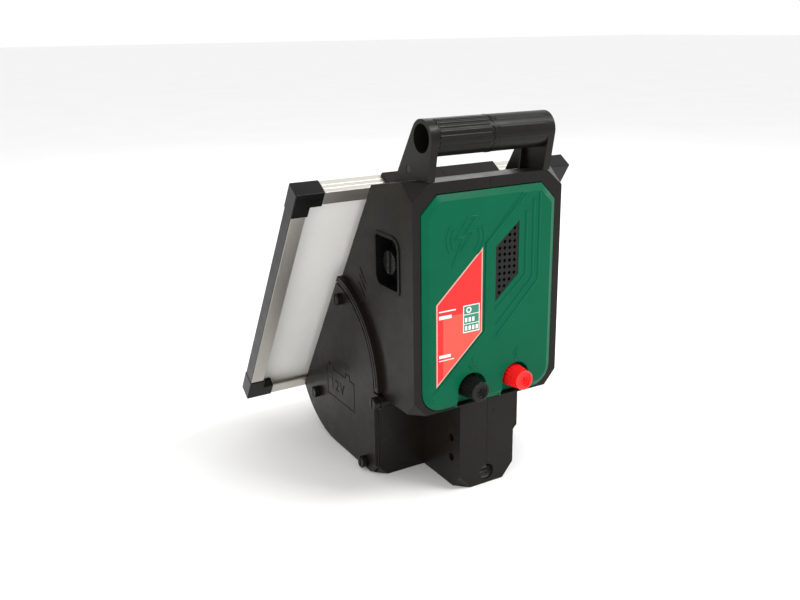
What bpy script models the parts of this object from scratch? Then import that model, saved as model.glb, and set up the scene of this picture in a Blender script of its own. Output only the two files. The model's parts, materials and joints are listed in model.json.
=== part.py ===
"""Solar fence energizer: a black two-part housing on a drum-shaped battery box, with a tilted
solar panel behind it, a green front cover with two terminals, a carrying handle and a stake socket.

+X is the object's right, +Y points to its back and +Z points up. The origin is on the flat base.
Sizes are in millimetres and are turned into metres where a mesh is made. All of it is at rest.
"""

import math

import bmesh
import bpy
from mathutils import Matrix, Vector

MM = 0.001

# ---- General ----
GAP = 0.3  # clearance between two pieces that touch
WALL = 3.0  # wall of the housing halves
ARC_STEP = math.radians(7.5)
SHARP_ANGLE = math.radians(30)
SPARE = 5.0  # how far a cutter reaches past the face that it opens
FAR = 500.0  # reach of a cutter that takes away all of one side

# ---- Battery box, a drum lying across the object with a squared front foot ----
DRUM_RADIUS = 104.9
DRUM_PROUD = 6.4  # how far each end stands out of the housing's side
DRUM_FRONT_Y = -54.6
DRUM_Y = DRUM_FRONT_Y + DRUM_RADIUS
DRUM_Z = DRUM_RADIUS
DRUM_FACET = 15.0
RIM_WIDTH = 8.3

# ---- Main housing ----
HOUSING_WIDTH = 184.0
HOUSING_HEIGHT = 241.9
HOUSING_BOTTOM_Z = DRUM_Z - 5.5
HOUSING_TOP_Z = HOUSING_BOTTOM_Z + HOUSING_HEIGHT
COLUMN_DEPTH = 74.2
COLUMN_WIDTH = 70.8
FRONT_Y = DRUM_FRONT_Y - COLUMN_DEPTH
TOP_FLAT = 20.8  # level part of the roof, before it slopes to the back
TOP_FACETS = (19.9, 20.6, 17.3)  # how much of each edge a cut corner takes
BOTTOM_FACETS = (14.4, 14.2, 16.3)
COLUMN_FACETS = (14.0, 13.8, 16.5)
HALF_WIDTH = HOUSING_WIDTH / 2
COLUMN_HALF = COLUMN_WIDTH / 2
DRUM_HALF = HALF_WIDTH + DRUM_PROUD

# ---- Vent grooves between the recess and the drum: place, run and spacing, in the side view ----
GROOVE_COUNT = 3
GROOVE_PLACE = (FRONT_Y + 112.8, HOUSING_TOP_Z - 106.3)
GROOVE_RUN = (-14.0, -15.0)
GROOVE_WIDTH = (-1.6, 1.1)
GROOVE_STEP = (1.5, -8.5)
GROOVE_DEPTH = 1.0

# ---- Solar panel, in its own slope: across, down the slope, out towards the sun ----
PANEL_TILT = math.radians(33.1)  # from the vertical
PANEL_TOP_Y = FRONT_Y + 84.1
PANEL_TOP_Z = HOUSING_TOP_Z - 14.8
PANEL_WIDTH = 347.6
PANEL_LENGTH = 341.7
PANEL_THICKNESS = 18.2
RAIL_FLANGE = 16.0
RAIL_WALL = 1.8
RAIL_LIP = 8.0
RAIL_SHEET = 1.4
LAMINATE_THICKNESS = 3.2
BACKSHEET_THICKNESS = 1.0
LAMINATE_LOW_N = PANEL_THICKNESS - RAIL_SHEET - GAP - LAMINATE_THICKNESS
BACKSHEET_LOW_N = LAMINATE_LOW_N - GAP - BACKSHEET_THICKNESS
SHELF_LOW_N = BACKSHEET_LOW_N - GAP - RAIL_SHEET
CAP_LEG = 31.0
CAP_WIDTH = 18.0
CAP_PROUD = 0.9
HOOK_HALF_WIDTH = HALF_WIDTH - 20.7
HOOK_THICKNESS = 4.0
HOOK_REACH = PANEL_THICKNESS - 1.2
JUNCTION_WIDTH = 52.0
JUNCTION_LENGTH = 40.0
JUNCTION_LOW_N = 1.2
JUNCTION_GAP = 12.0  # from the box to its lead's port

# ---- Front cover ----
COVER_WIDTH = HOUSING_WIDTH - 19.3
COVER_BOTTOM_Z = HOUSING_BOTTOM_Z + 2.7
COVER_TOP_Z = HOUSING_TOP_Z - 12.4
COVER_PROUD = 5.5
COVER_CHAMFER = 18.4
COVER_CORNER_RADIUS = 23.0
COVER_EDGE_WIDTH = 7.4
COVER_EDGE_DROP = 4.6
COVER_WALL = 2.4
COVER_DEPTH = 14.5
COVER_STEP = 0.7
SHADOW_GAP = 1.0
SEAL_THICKNESS = 2.0
LEDGE_WIDTH = 6.0
LEDGE_THICKNESS = 3.0
COVER_FRONT_Y = FRONT_Y - COVER_PROUD
COVER_BACK_Y = COVER_FRONT_Y + COVER_DEPTH
LEDGE_FRONT_Y = COVER_BACK_Y + SEAL_THICKNESS + 2 * GAP
CAVITY_FRONT_Y = LEDGE_FRONT_Y + LEDGE_THICKNESS

# ---- Label, grille and stepped field: shares of the cover's half width and of its height ----
LABEL_CORNERS = ((-0.147, 0.744), (-0.829, 0.514), (-0.829, 0.122), (-0.147, 0.349))
LABEL_THICKNESS = 0.6
GRILLE_CORNERS = ((0.397, 0.842), (0.051, 0.735), (0.051, 0.481), (0.397, 0.595))
GRILLE_THICKNESS = 3.0
GRILLE_COLUMNS = 4
GRILLE_ROWS = 8
GRILLE_MARGIN = 1.8
GRILLE_BAR = 1.9
RIDGE_BENDS = ((0.559, 1.009), (-0.100, 0.763), (-0.113, 0.347), (-0.971, 0.062))

# ---- Terminals ----
GROUND_X = -23.9
FENCE_X = 32.9
TERMINAL_Z = HOUSING_BOTTOM_Z + 22.2
NOTCH_HALF_WIDTH = 17.6
NOTCH_TOP_Z = TERMINAL_Z + 15.9
KNOB_RADIUS = 13.8
KNOB_TIP_RADIUS = 10.4
KNOB_LENGTH = 28.0
KNOB_BORE_DEPTH = 20.0
KNOB_FLUTES = 20
FLUTE_DEPTH = 1.1
KNOB_FACE_STEPS = ((7.4, 1.6), (5.4, 3.4), (3.2, 5.0))  # radius and depth of each ring of its face
STUD_RADIUS = 3.0
STUD_INTO_KNOB = 18.8
STUD_TAIL = 14.0
STUD_HEAD = 2.4
NUT_RADIUS = 6.0
NUT_HEIGHT = 4.6
NUT_BORE_GAP = 0.2

# ---- Handle ----
POST_OUTER_X = HALF_WIDTH - 17.5
POST_THICKNESS = 8.3
POST_FOOT_DEPTH = 65.3
GRIP_RADIUS = 18.6
GRIP_BORE_RADIUS = GRIP_RADIUS - 4.4
GRIP_Y = FRONT_Y + 11.0
GRIP_Z = HOUSING_TOP_Z + 23.0 + GRIP_RADIUS
RIB_THICKNESS = 3.0
RIB_FOOT = 7.0
RIB_TOP = 3.0
HANDLE_SCREW_BACK = POST_FOOT_DEPTH * 0.55
HANDLE_SCREW_UP = 9.0
HANDLE_SCREW_LENGTH = 8.0

# ---- Switch recess on the left side ----
RECESS_FRONT_Y = FRONT_Y + 26.8
RECESS_BACK_Y = RECESS_FRONT_Y + 48.2
RECESS_HIGH_Z = HOUSING_TOP_Z - 58.8
RECESS_LOW_Z = RECESS_HIGH_Z - 56.6
RECESS_SMALL_RADIUS = 4.0
RECESS_LARGE_RADIUS = 12.0
RECESS_DEPTH = 21.0
RECESS_WALL = 2.0
RECESS_LIP = 1.6
RECESS_PROUD = 0.8
SWITCH_Y = RECESS_FRONT_Y + 30.0
SWITCH_Z = RECESS_HIGH_Z - 30.5
SWITCH_KNOB_RADIUS = 13.0
SWITCH_KNOB_LENGTH = 13.0
SWITCH_SHAFT_RADIUS = 3.0
SWITCH_SHAFT_LENGTH = 8.0
SWITCH_SHAFT_GAP = 0.5
SWITCH_BAR_WIDTH = 4.8
SWITCH_BAR_PROUD = 1.5
SWITCH_BODY_HALF = 11.0
SWITCH_BODY_LENGTH = 14.0

# ---- Battery and its cover ----
BATTERY_SIZE = (151.0, 98.0, 95.0)
BATTERY_FRONT_Y = DRUM_FRONT_Y + WALL + 1.0
PAD_THICKNESS = 3.0
TAB_X = 58.0
TAB_BACK = 24.0
TAB_SIZE = (6.4, 1.2, 6.2)
BATTERY_COVER_THICKNESS = 3.0
BATTERY_COVER_INSET = 1.3
COVER_SEAT_SPARE = 0.6  # how far the cover's seat cuts past the drum's outside, over a facet's bulge
BATTERY_SEAL_THICKNESS = 1.5
SEAL_OUTER_X = DRUM_HALF - BATTERY_COVER_THICKNESS - GAP
BOX_END_X = SEAL_OUTER_X - BATTERY_SEAL_THICKNESS - GAP
EAR_Y = DRUM_FRONT_Y - 8.0
EAR_Z = HOUSING_BOTTOM_Z - 5.1
EAR_RADIUS = 8.0
COVER_SCREW_SHARES = ((-0.280, 0.813), (0.415, -0.522), (-0.769, -0.907))  # of the drum's radius
COVER_SCREW_PLACES = [(DRUM_Y + y * DRUM_RADIUS, DRUM_Z + z * DRUM_RADIUS) for y, z in COVER_SCREW_SHARES]
COVER_SCREW_PLACES.append((EAR_Y, EAR_Z))
COVER_SCREW_HEAD_RADIUS = 6.85
COVER_SCREW_HEAD = 7.2
COVER_SCREW_EDGE = 0.8
COVER_SCREW_SLOT = (2.2, 2.4)
COVER_SCREW_RADIUS = 2.5
COVER_SCREW_LENGTH = 13.0
COVER_SCREW_END_GAP = 2.0
COVER_BOSS_RADIUS = 6.4
COVER_BOSS_DEPTH = 15.0

# ---- Leads and their ports ----
LEAD_X = -16.0
LEAD_RADIUS = 1.4
LEAD_DOWN = 75.0  # of the panel's lead, down the panel
PORT_RADIUS = 5.5
PORT_ANGLE = math.radians(135)
GROMMET_FLANGE = 1.5
GROMMET_LIP = 2.2
GROMMET_BORE_GAP = 0.9

# ---- Electronics ----
BOARD_Y = FRONT_Y + 31.8
BOARD_THICKNESS = 1.6
BOARD_LEFT_X = -44.0
BOARD_LOW_Z = HOUSING_BOTTOM_Z + 68.6
BOARD_HIGH_Z = HOUSING_TOP_Z - 19.3
CORE_X = 44.0
CORE_FRONT_Y = FRONT_Y + 32.8
CORE_SIZE = (60.0, 24.0, 48.0)
CORE_YOKE = 9.0
CORE_LEG = 12.0
COIL_OVER = 6.0
CAPACITOR_X = -42.0
CAPACITOR_Y = FRONT_Y + 44.8
CAPACITOR_RADIUS = 19.0
CAPACITOR_HEIGHT = 50.0
LIGHT_X = 18.4
LIGHT_UP = 88.0  # above the board's lower edge
LIGHT_RADIUS = 2.5
LIGHT_LENGTH = 14.0

# ---- Stake socket ----
STAKE_TUBE = 27.0
STAKE_TUBE_WALL = 2.0
STAKE_TUBE_LOW_Z = 1.0
STAKE_TUBE_HEIGHT = HOUSING_BOTTOM_Z - 11.4
CLAMP_Z = 13.3
CLAMP_HOLE_RADIUS = 9.1
CLAMP_SCREW_RADIUS = 3.0
CLAMP_HEAD_RADIUS = 5.4
CLAMP_HEAD = 4.5
CLAMP_HEAD_BACK = 5.5  # of its face, behind the column's front
CLAMP_TIP = 0.5  # of the screw, short of the bore
CLAMP_SLOT = (1.6, 1.6)
CLAMP_NUT_RADIUS = 6.4
CLAMP_NUT_HEIGHT = 5.0

# ---- Screws that hold the housing halves together and the panel to them ----
BORE_RADIUS = 4.6
BOSS_RADIUS = 6.6
BOSS_FLOOR = 4.0
SCREW_RADIUS = 2.0
SCREW_LENGTH = 20.0
SCREW_HEAD_RADIUS = 3.8
SCREW_HEAD = 2.6
BLIND_BOSS_LENGTH = 26.0
COLUMN_SCREW_BACK = 16.8
COLUMN_SCREW_HEIGHTS = (57.0, 33.6)
ROOF_SCREW_BACK = 30.0
BACK_SCREW_DOWN = 34.0
LOW_SCREW_UP = 18.3  # above the end of the drum's flat back
PANEL_SCREW_X = 55.0
PANEL_SCREW_DOWN = 9.0
PANEL_SCREW_TAIL = 3.0

parts = bpy.data.collections.new("fence_energizer")
cutters = bpy.data.collections.new("cutters")


def clear_scene():
    """Removes the objects that a new file starts with."""
    for obj in list(bpy.data.objects):
        bpy.data.objects.remove(obj)
    bpy.context.scene.collection.children.link(parts)
    bpy.context.scene.collection.children.link(cutters)


# ---------------------------------------------------------------- outlines


def arc(centre, radius, start, end):
    """Points of an arc from angle start to angle end, about ARC_STEP apart."""
    count = max(2, round(abs(end - start) / ARC_STEP))
    angles = [start + (end - start) * k / count for k in range(count + 1)]
    return [(centre[0] + radius * math.cos(a), centre[1] + radius * math.sin(a)) for a in angles]


def circle(centre, radius, count=24):
    """Points of a full circle."""
    angles = [2 * math.pi * k / count for k in range(count)]
    return [(centre[0] + radius * math.cos(a), centre[1] + radius * math.sin(a)) for a in angles]


def rectangle(low_u, high_u, low_v, high_v):
    """The four corners of a rectangle."""
    return [(low_u, low_v), (high_u, low_v), (high_u, high_v), (low_u, high_v)]


def rounded(corners, steps=5):
    """A closed outline through corners (u, v, radius), with an arc where the radius isn't 0."""
    points = []
    for index, (u, v, radius) in enumerate(corners):
        here = Vector((u, v))
        if radius == 0:
            points.append((u, v))
            continue
        before = (Vector(corners[index - 1][:2]) - here).normalized()
        after = (Vector(corners[(index + 1) % len(corners)][:2]) - here).normalized()
        half = before.angle(after) / 2
        centre = here + (before + after).normalized() * radius / math.sin(half)
        start = here + before * radius / math.tan(half) - centre
        turn = start.angle_signed(here + after * radius / math.tan(half) - centre)
        first = math.atan2(start.y, start.x)
        for step in range(steps + 1):
            angle = first - turn * step / steps
            points.append((centre.x + radius * math.cos(angle), centre.y + radius * math.sin(angle)))
    return points


def on_panel(down, out):
    """Side-view point (y, z) at a distance down the panel's slope and out of its back plane."""
    y = PANEL_TOP_Y + down * math.sin(PANEL_TILT) + out * math.cos(PANEL_TILT)
    z = PANEL_TOP_Z - down * math.cos(PANEL_TILT) + out * math.sin(PANEL_TILT)
    return y, z


def panel_angles(radius, out):
    """The two angles at which a circle about the drum's axis meets the plane out of the panel."""
    centre_out = (DRUM_Y - PANEL_TOP_Y) * math.cos(PANEL_TILT)
    centre_out += (DRUM_Z - PANEL_TOP_Z) * math.sin(PANEL_TILT)
    half = math.acos((out - centre_out) / radius)
    return PANEL_TILT - half, PANEL_TILT + half


def drum_end_down():
    """How far down the panel's slope the drum's flat back ends."""
    low = panel_angles(DRUM_RADIUS, -GAP)[0]
    y = DRUM_Y + DRUM_RADIUS * math.cos(low) - PANEL_TOP_Y
    z = DRUM_Z + DRUM_RADIUS * math.sin(low) - PANEL_TOP_Z
    return y * math.sin(PANEL_TILT) - z * math.cos(PANEL_TILT)


def drum_outline(inset):
    """Side view of the drum, inset all round: a squared front foot, a round bottom and top, and
    a back cut off along the panel."""
    radius = DRUM_RADIUS - inset
    low, high = panel_angles(radius, -GAP - inset)
    centre = (DRUM_Y, DRUM_Z)
    points = [(DRUM_Y - radius, DRUM_Z - radius)]
    points += arc(centre, radius, -math.pi / 2, low)
    points += arc(centre, radius, high, math.pi)
    return points


def cover_outline(inset):
    """Front view of the green cover, inset all round: chamfered top corners, round bottom ones."""
    half = COVER_WIDTH / 2 - inset
    low = COVER_BOTTOM_Z + inset
    high = COVER_TOP_Z - inset
    chamfer = COVER_CHAMFER - (2 - math.sqrt(2)) * inset
    radius = COVER_CORNER_RADIUS - inset
    corners = [(-half, low, radius), (half, low, radius)]
    corners += [(half, high - chamfer, 0), (half - chamfer, high, 0)]
    corners += [(chamfer - half, high, 0), (-half, high - chamfer, 0)]
    return rounded(corners)


def notch_outline(x, inset, below):
    """Front view of the arched space around a terminal, from below the cover's bottom edge."""
    half = NOTCH_HALF_WIDTH - inset
    arch = arc((x, NOTCH_TOP_Z - NOTCH_HALF_WIDTH), half, 0, math.pi)
    return [(x - half, COVER_BOTTOM_Z - below), (x + half, COVER_BOTTOM_Z - below)] + arch


def recess_outline(inset):
    """Side view of the switch recess: two opposite corners are rounder than the others."""
    front, back = RECESS_FRONT_Y + inset, RECESS_BACK_Y - inset
    low, high = RECESS_LOW_Z + inset, RECESS_HIGH_Z - inset
    small, large = RECESS_SMALL_RADIUS - inset / 2, RECESS_LARGE_RADIUS - inset
    return rounded([(front, low, small), (back, low, large), (back, high, small), (front, high, large)])


def on_cover(across, up):
    """Front-view point (x, z) at a share of the cover's half width and of its height."""
    return across * COVER_WIDTH / 2, COVER_BOTTOM_Z + up * (COVER_TOP_Z - COVER_BOTTOM_Z)


def slanted(corners, inset):
    """A slanted field of the cover, inset. Its upright sides move sideways and the others upright."""
    points = [on_cover(*corner) for corner in corners]
    middle_x = sum(x for x, _ in points) / len(points)
    found = []
    for index, (x, z) in enumerate(points):
        away = 1 if x > middle_x else -1
        found.append((x - away * inset, z - inset if index < 2 else z + inset))
    return found


def tangent_angle(centre, radius, point, side):
    """The angle on a circle where a line from a point outside touches it, on one side."""
    away = Vector(point) - Vector(centre)
    return math.atan2(away.y, away.x) + side * math.acos(radius / away.length)


# ---------------------------------------------------------------- solids


AXIS_TURNS = {
    "X": Matrix(((0, 0, 1), (1, 0, 0), (0, 1, 0))).to_4x4(),
    "Y": Matrix(((1, 0, 0), (0, 0, -1), (0, 1, 0))).to_4x4(),
    "Z": Matrix.Identity(4),
}
AXIS_VECTORS = {"X": Vector((1, 0, 0)), "Y": Vector((0, 1, 0)), "Z": Vector((0, 0, 1))}


def add_object(name, data, collection):
    """A new object in the given collection. A cutter is drawn as wire and left out of renders."""
    obj = bpy.data.objects.new(name, data)
    collection.objects.link(obj)
    if collection == cutters:
        obj.hide_render = True
        obj.display_type = "WIRE"
    return obj


def plate(name, loops, low, high, axis="X", collection=parts, parent=None):
    """A flat solid: the first loop is its outline and the others are holes. It lies between low
    and high along the axis. For axis X a loop holds (y, z), for Y it holds (x, z), for Z (x, y)."""
    curve = bpy.data.curves.new(name, "CURVE")
    curve.dimensions = "2D"
    curve.fill_mode = "BOTH"
    curve.extrude = (high - low) / 2 * MM
    for loop in loops:
        spline = curve.splines.new("POLY")
        spline.points.add(len(loop) - 1)
        for point, (u, v) in zip(spline.points, loop):
            point.co = (u * MM, v * MM, 0, 1)
        spline.use_cyclic_u = True
    flat = bpy.data.objects.new(name + "_outline", curve)
    bpy.context.scene.collection.objects.link(flat)
    bpy.context.view_layer.update()
    graph = bpy.context.evaluated_depsgraph_get()
    mesh = bpy.data.meshes.new_from_object(flat.evaluated_get(graph))
    bpy.data.objects.remove(flat)
    shape = bmesh.new()
    shape.from_mesh(mesh)
    bmesh.ops.remove_doubles(shape, verts=shape.verts, dist=1e-6)
    bmesh.ops.dissolve_limit(shape, angle_limit=0.001, verts=shape.verts, edges=shape.edges)
    shape.to_mesh(mesh)
    shape.free()
    obj = add_object(name, mesh, collection)
    obj.matrix_local = Matrix.Translation(AXIS_VECTORS[axis] * (low + high) / 2 * MM) @ AXIS_TURNS[axis]
    obj.parent = parent
    return obj


def hull(name, rings, collection=parts):
    """The convex solid around several rings of points (x, y, z)."""
    shape = bmesh.new()
    for ring in rings:
        for point in ring:
            shape.verts.new(Vector(point) * MM)
    bmesh.ops.convex_hull(shape, input=shape.verts)
    bmesh.ops.dissolve_limit(shape, angle_limit=0.001, verts=shape.verts, edges=shape.edges)
    mesh = bpy.data.meshes.new(name)
    shape.to_mesh(mesh)
    shape.free()
    return add_object(name, mesh, collection)


def box(name, low, high, collection=parts):
    """A block between two corners."""
    shape = bmesh.new()
    bmesh.ops.create_cube(shape, size=1)
    size = Vector(high) - Vector(low)
    bmesh.ops.scale(shape, vec=size * MM, verts=shape.verts)
    mesh = bpy.data.meshes.new(name)
    shape.to_mesh(mesh)
    shape.free()
    obj = add_object(name, mesh, collection)
    obj.location = (Vector(low) + Vector(high)) / 2 * MM
    return obj


def turned(name, profile, centre, direction, steps=24, collection=parts):
    """A turned solid. The profile's (radius, height) points run down its outer side, and height
    is measured from the centre along the direction. A profile off the axis closes on itself."""
    closed = all(radius > 0 for radius, _ in profile)
    mesh = bpy.data.meshes.new(name)
    edges = [(k, k + 1) for k in range(len(profile) - 1)]
    if closed:
        edges.append((len(profile) - 1, 0))
    mesh.from_pydata([(r * MM, 0, h * MM) for r, h in profile], edges, [])
    obj = add_object(name, mesh, collection)
    obj.location = Vector(centre) * MM
    obj.rotation_euler = Vector(direction).to_track_quat("Z", "Y").to_euler()
    screw = obj.modifiers.new("turn", "SCREW")
    screw.axis = "Z"
    screw.steps = steps
    screw.render_steps = steps
    screw.use_merge_vertices = True
    screw.merge_threshold = 0.00001
    return obj


def rod(name, radius, low, high, centre, direction, steps=24, collection=parts):
    """A plain cylinder between two heights from the centre along the direction."""
    profile = [(0, high), (radius, high), (radius, low), (0, low)]
    return turned(name, profile, centre, direction, steps, collection)


def corner_cutter(name, corner, inward, legs):
    """A block whose face cuts the three legs off a corner. Inward holds the signs into the solid."""
    points = [Vector(corner) - Vector(inward) * SPARE]
    for k in range(3):
        others = sum(SPARE / legs[j] for j in range(3) if j != k)
        point = points[0].copy()
        point[k] = corner[k] + inward[k] * legs[k] * (1 + others)
        points.append(point)
    return hull(name, [points], cutters)


def boolean(obj, other, operation):
    """Adds a Boolean modifier with the exact solver."""
    modifier = obj.modifiers.new(operation.lower() + "_" + other.name, "BOOLEAN")
    modifier.operation = operation
    modifier.object = other
    return obj


def cut(obj, *others):
    """Takes the others out of the object."""
    for other in others:
        boolean(obj, other, "DIFFERENCE")
    return obj


def join(obj, *others):
    """Adds the others to the object."""
    for other in others:
        boolean(obj, other, "UNION")
    return obj


def wire(name, places, radius):
    """A round lead on a smooth curve through the places (x, y, z)."""
    points = [Vector(place) for place in places]
    points = [2 * points[0] - points[1]] + points + [2 * points[-1] - points[-2]]
    steps = 5
    path = []
    for k in range(1, len(points) - 2):
        p0, p1, p2, p3 = points[k - 1 : k + 3]
        for step in range(steps):
            t = step / steps
            spot = p1 * 2 + (p2 - p0) * t + (p0 * 2 - p1 * 5 + p2 * 4 - p3) * t**2
            path.append((spot + (p1 * 3 - p0 - p2 * 3 + p3) * t**3) / 2)
    path.append(points[-2])
    curve = bpy.data.curves.new(name, "CURVE")
    curve.dimensions = "3D"
    curve.bevel_depth = radius * MM
    curve.bevel_resolution = 2
    curve.use_fill_caps = True
    spline = curve.splines.new("POLY")
    spline.points.add(len(path) - 1)
    for point, place in zip(spline.points, path):
        point.co = (*(place * MM), 1)
    return add_object(name, curve, parts)


def finish(obj, colour, roughness, metallic=0.0):
    """Gives the object a Principled material of its own, and shades its round faces smooth."""
    material = bpy.data.materials.new(obj.name)
    material.use_nodes = True
    shader = material.node_tree.nodes["Principled BSDF"]
    shader.inputs["Base Color"].default_value = (*colour, 1)
    shader.inputs["Roughness"].default_value = roughness
    shader.inputs["Metallic"].default_value = metallic
    obj.data.materials.append(material)
    if obj.type == "MESH" and obj.data.polygons:
        obj.data.shade_smooth()
        obj.data.set_sharp_from_angle(angle=SHARP_ANGLE)
    return obj


def screw_profile(radius, tip, seat, head_radius, head):
    """Half section of a screw: a plain shank from its tip to its seat, and a flat head on it."""
    top = seat + head
    return [(0, top), (head_radius, top), (head_radius, seat), (radius, seat), (radius, tip), (0, tip)]


BLACK = (0.022, 0.021, 0.019)
GREEN = (0.0, 0.130, 0.075)
STEEL = (0.62, 0.61, 0.58)
ALUMINIUM = (0.55, 0.54, 0.50)
RUBBER = (0.015, 0.015, 0.015)
GREY = (0.16, 0.17, 0.19)
RED_LABEL = (0.9, 0.05, 0.04)
RED_KNOB = (0.8, 0.012, 0.010)
RED_LEAD = (0.6, 0.02, 0.02)


# ---------------------------------------------------------------- housing halves


def screw_places():
    """(y, z, head side) of the screws that close the housing: -1 puts the head on the left."""
    from_wall = WALL / 2 + BOSS_RADIUS
    places = [(FRONT_Y + COLUMN_SCREW_BACK, z, -1) for z in COLUMN_SCREW_HEIGHTS]
    places.append((FRONT_Y + ROOF_SCREW_BACK, HOUSING_TOP_Z - from_wall, 1))
    for down in (BACK_SCREW_DOWN, drum_end_down() - LOW_SCREW_UP):
        places.append((*on_panel(down, -GAP - from_wall), 1))
    return places


def side_limit(y, z):
    """Half the width of the housing's outside at a place in the side view."""
    if z < HOUSING_BOTTOM_Z and y < DRUM_FRONT_Y:
        return COLUMN_HALF
    inside_drum = math.hypot(y - DRUM_Y, z - DRUM_Z) < DRUM_RADIUS
    return DRUM_HALF if inside_drum else HALF_WIDTH


def outer_shapes():
    """The blocks that the outside of both halves is made of, run past the panel's back plane, the
    cutter for all that lies beyond that plane, and the lip that hooks over the panel's top."""
    body = [(FRONT_Y, HOUSING_BOTTOM_Z), (DRUM_Y, HOUSING_BOTTOM_Z), *roof_line(0, DRUM_Y, FRONT_Y)]
    round_side = arc((DRUM_Y, DRUM_Z), DRUM_RADIUS, -math.pi / 2, math.pi)
    drum = plate("drum_block", [[(DRUM_FRONT_Y, 0)] + round_side], -DRUM_HALF, DRUM_HALF, "X", cutters)
    column = box(
        "column_block",
        (-COLUMN_HALF, FRONT_Y, 0),
        (COLUMN_HALF, DRUM_FRONT_Y + WALL / 2, HOUSING_BOTTOM_Z + WALL / 2),
        cutters,
    )
    beyond = [on_panel(-FAR, -GAP), on_panel(FAR, -GAP), on_panel(FAR, FAR), on_panel(-FAR, FAR)]
    panel_space = plate("panel_space", [beyond], -FAR, FAR, "X", cutters)
    low, high = -GAP, -GAP - HOOK_THICKNESS
    hook = [on_panel(low, -WALL), on_panel(low, HOOK_REACH)]
    hook += [on_panel(high, HOOK_REACH - 1), on_panel(high, -WALL)]
    lip = plate("hook_block", [hook], -HOOK_HALF_WIDTH, HOOK_HALF_WIDTH, "X", cutters)
    return body, [drum, column], panel_space, lip


def rim_block(side):
    """The raised rim around the upper front of the drum, on one side."""
    low = panel_angles(DRUM_RADIUS + RIM_WIDTH, SPARE)[1]
    centre = (DRUM_Y, DRUM_Z)
    outline = arc(centre, DRUM_RADIUS + RIM_WIDTH, low, math.pi)
    outline += arc(centre, DRUM_RADIUS - WALL / 2, math.pi, low)
    ends = sorted((side * (HALF_WIDTH - WALL / 2), side * DRUM_HALF))
    return plate(f"rim_block_{side}", [outline], *ends, "X", cutters)


def cavities():
    """The hollow spaces inside both halves. The battery's is open on the left."""
    inset = -GAP - WALL
    centre = (DRUM_Y, DRUM_Z)
    floor = HOUSING_BOTTOM_Z + WALL
    start = math.pi + math.asin((DRUM_Z - floor) / DRUM_RADIUS)
    roof = HOUSING_TOP_Z - WALL
    upper = [(CAVITY_FRONT_Y, floor)]
    upper += arc(centre, DRUM_RADIUS, start, panel_angles(DRUM_RADIUS, inset)[1])
    upper += [on_panel(0, inset), (FRONT_Y + TOP_FLAT, roof), (CAVITY_FRONT_Y, roof)]
    half = HALF_WIDTH - WALL
    electronics = plate("electronics_space", [upper], -half, half, "X", cutters)
    cut(electronics, *facet_cutters(("roof", "chin"), WALL))
    battery = plate("battery_space", [drum_outline(WALL)], -FAR, DRUM_HALF - WALL, "X", cutters)
    cut(battery, *facet_cutters(("foot",), WALL))
    socket = box(
        "socket_space",
        (WALL - COLUMN_HALF, FRONT_Y + WALL, -SPARE),
        (COLUMN_HALF - WALL, DRUM_FRONT_Y, HOUSING_BOTTOM_Z),
        cutters,
    )
    cut(socket, *facet_cutters(("column",), WALL))
    return [electronics, battery, socket]


def front_openings():
    """The opening that the green cover sits in, and the smaller one inside the seal's ledge."""
    seat = plate("cover_seat", [cover_outline(-SHADOW_GAP)], FRONT_Y - SPARE, LEDGE_FRONT_Y, "Y", cutters)
    inner = [cover_outline(LEDGE_WIDTH)]
    return [seat, plate("ledge_opening", inner, LEDGE_FRONT_Y - 1, CAVITY_FRONT_Y + 1, "Y", cutters)]


def facet_cutters(names, depth):
    """Cutters for the named pairs of cut corners, moved into the solid by a depth."""
    found = []
    for side in (-1, 1):
        inward = -side
        places = {
            "roof": ((side * HALF_WIDTH, FRONT_Y, HOUSING_TOP_Z), (inward, 1, -1), TOP_FACETS),
            "chin": ((side * HALF_WIDTH, FRONT_Y, HOUSING_BOTTOM_Z), (inward, 1, 1), BOTTOM_FACETS),
            "column": ((side * COLUMN_HALF, FRONT_Y, 0), (inward, 1, 1), COLUMN_FACETS),
            "foot": ((side * DRUM_HALF, DRUM_FRONT_Y, 0), (inward, 1, 1), (DRUM_FACET,) * 3),
        }
        for name in names:
            corner, into, legs = places[name]
            growth = 1 + depth * math.sqrt(sum(1 / leg**2 for leg in legs))
            grown = [leg * growth for leg in legs]
            found.append(corner_cutter(f"{name}_facet_{depth:g}_{side}", corner, into, grown))
    return found


def boss_set(side):
    """Bosses, deep head bores and pilot holes of the housing screws, on one side of the seam."""
    bosses, holes = [], []
    for index, (y, z, head) in enumerate(screw_places()):
        limit = side_limit(y, z)
        whole = side == head or limit == COLUMN_HALF
        place = ((0, y, z), (1, 0, 0))
        name = f"{index}_{side}"
        ends = sorted((0.0, side * (limit - WALL / 2 if whole else BLIND_BOSS_LENGTH)))
        bosses.append(rod("boss_" + name, BOSS_RADIUS, *ends, *place, 20, cutters))
        if side == head:
            ends = sorted((side * BOSS_FLOOR, side * (limit + SPARE)))
            holes.append(rod("bore_" + name, BORE_RADIUS, *ends, *place, 20, cutters))
        ends = sorted((-side, side * (1 + (BOSS_FLOOR if side == head else SCREW_LENGTH))))
        holes.append(rod("pilot_" + name, SCREW_RADIUS + GAP, *ends, *place, 12, cutters))
    return bosses, holes


def vent_grooves(side):
    """Slanted grooves moulded into the side between the recess and the drum."""
    found = []
    run, width = Vector(GROOVE_RUN), Vector(GROOVE_WIDTH)
    ends = sorted((side * (HALF_WIDTH - GROOVE_DEPTH), side * (HALF_WIDTH + SPARE)))
    for index in range(GROOVE_COUNT):
        corner = Vector(GROOVE_PLACE) + index * Vector(GROOVE_STEP)
        outline = [tuple(p) for p in (corner, corner + run, corner + run + width, corner + width)]
        found.append(plate(f"groove_{index}_{side}", [outline], *ends, "X", cutters))
    return found


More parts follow.
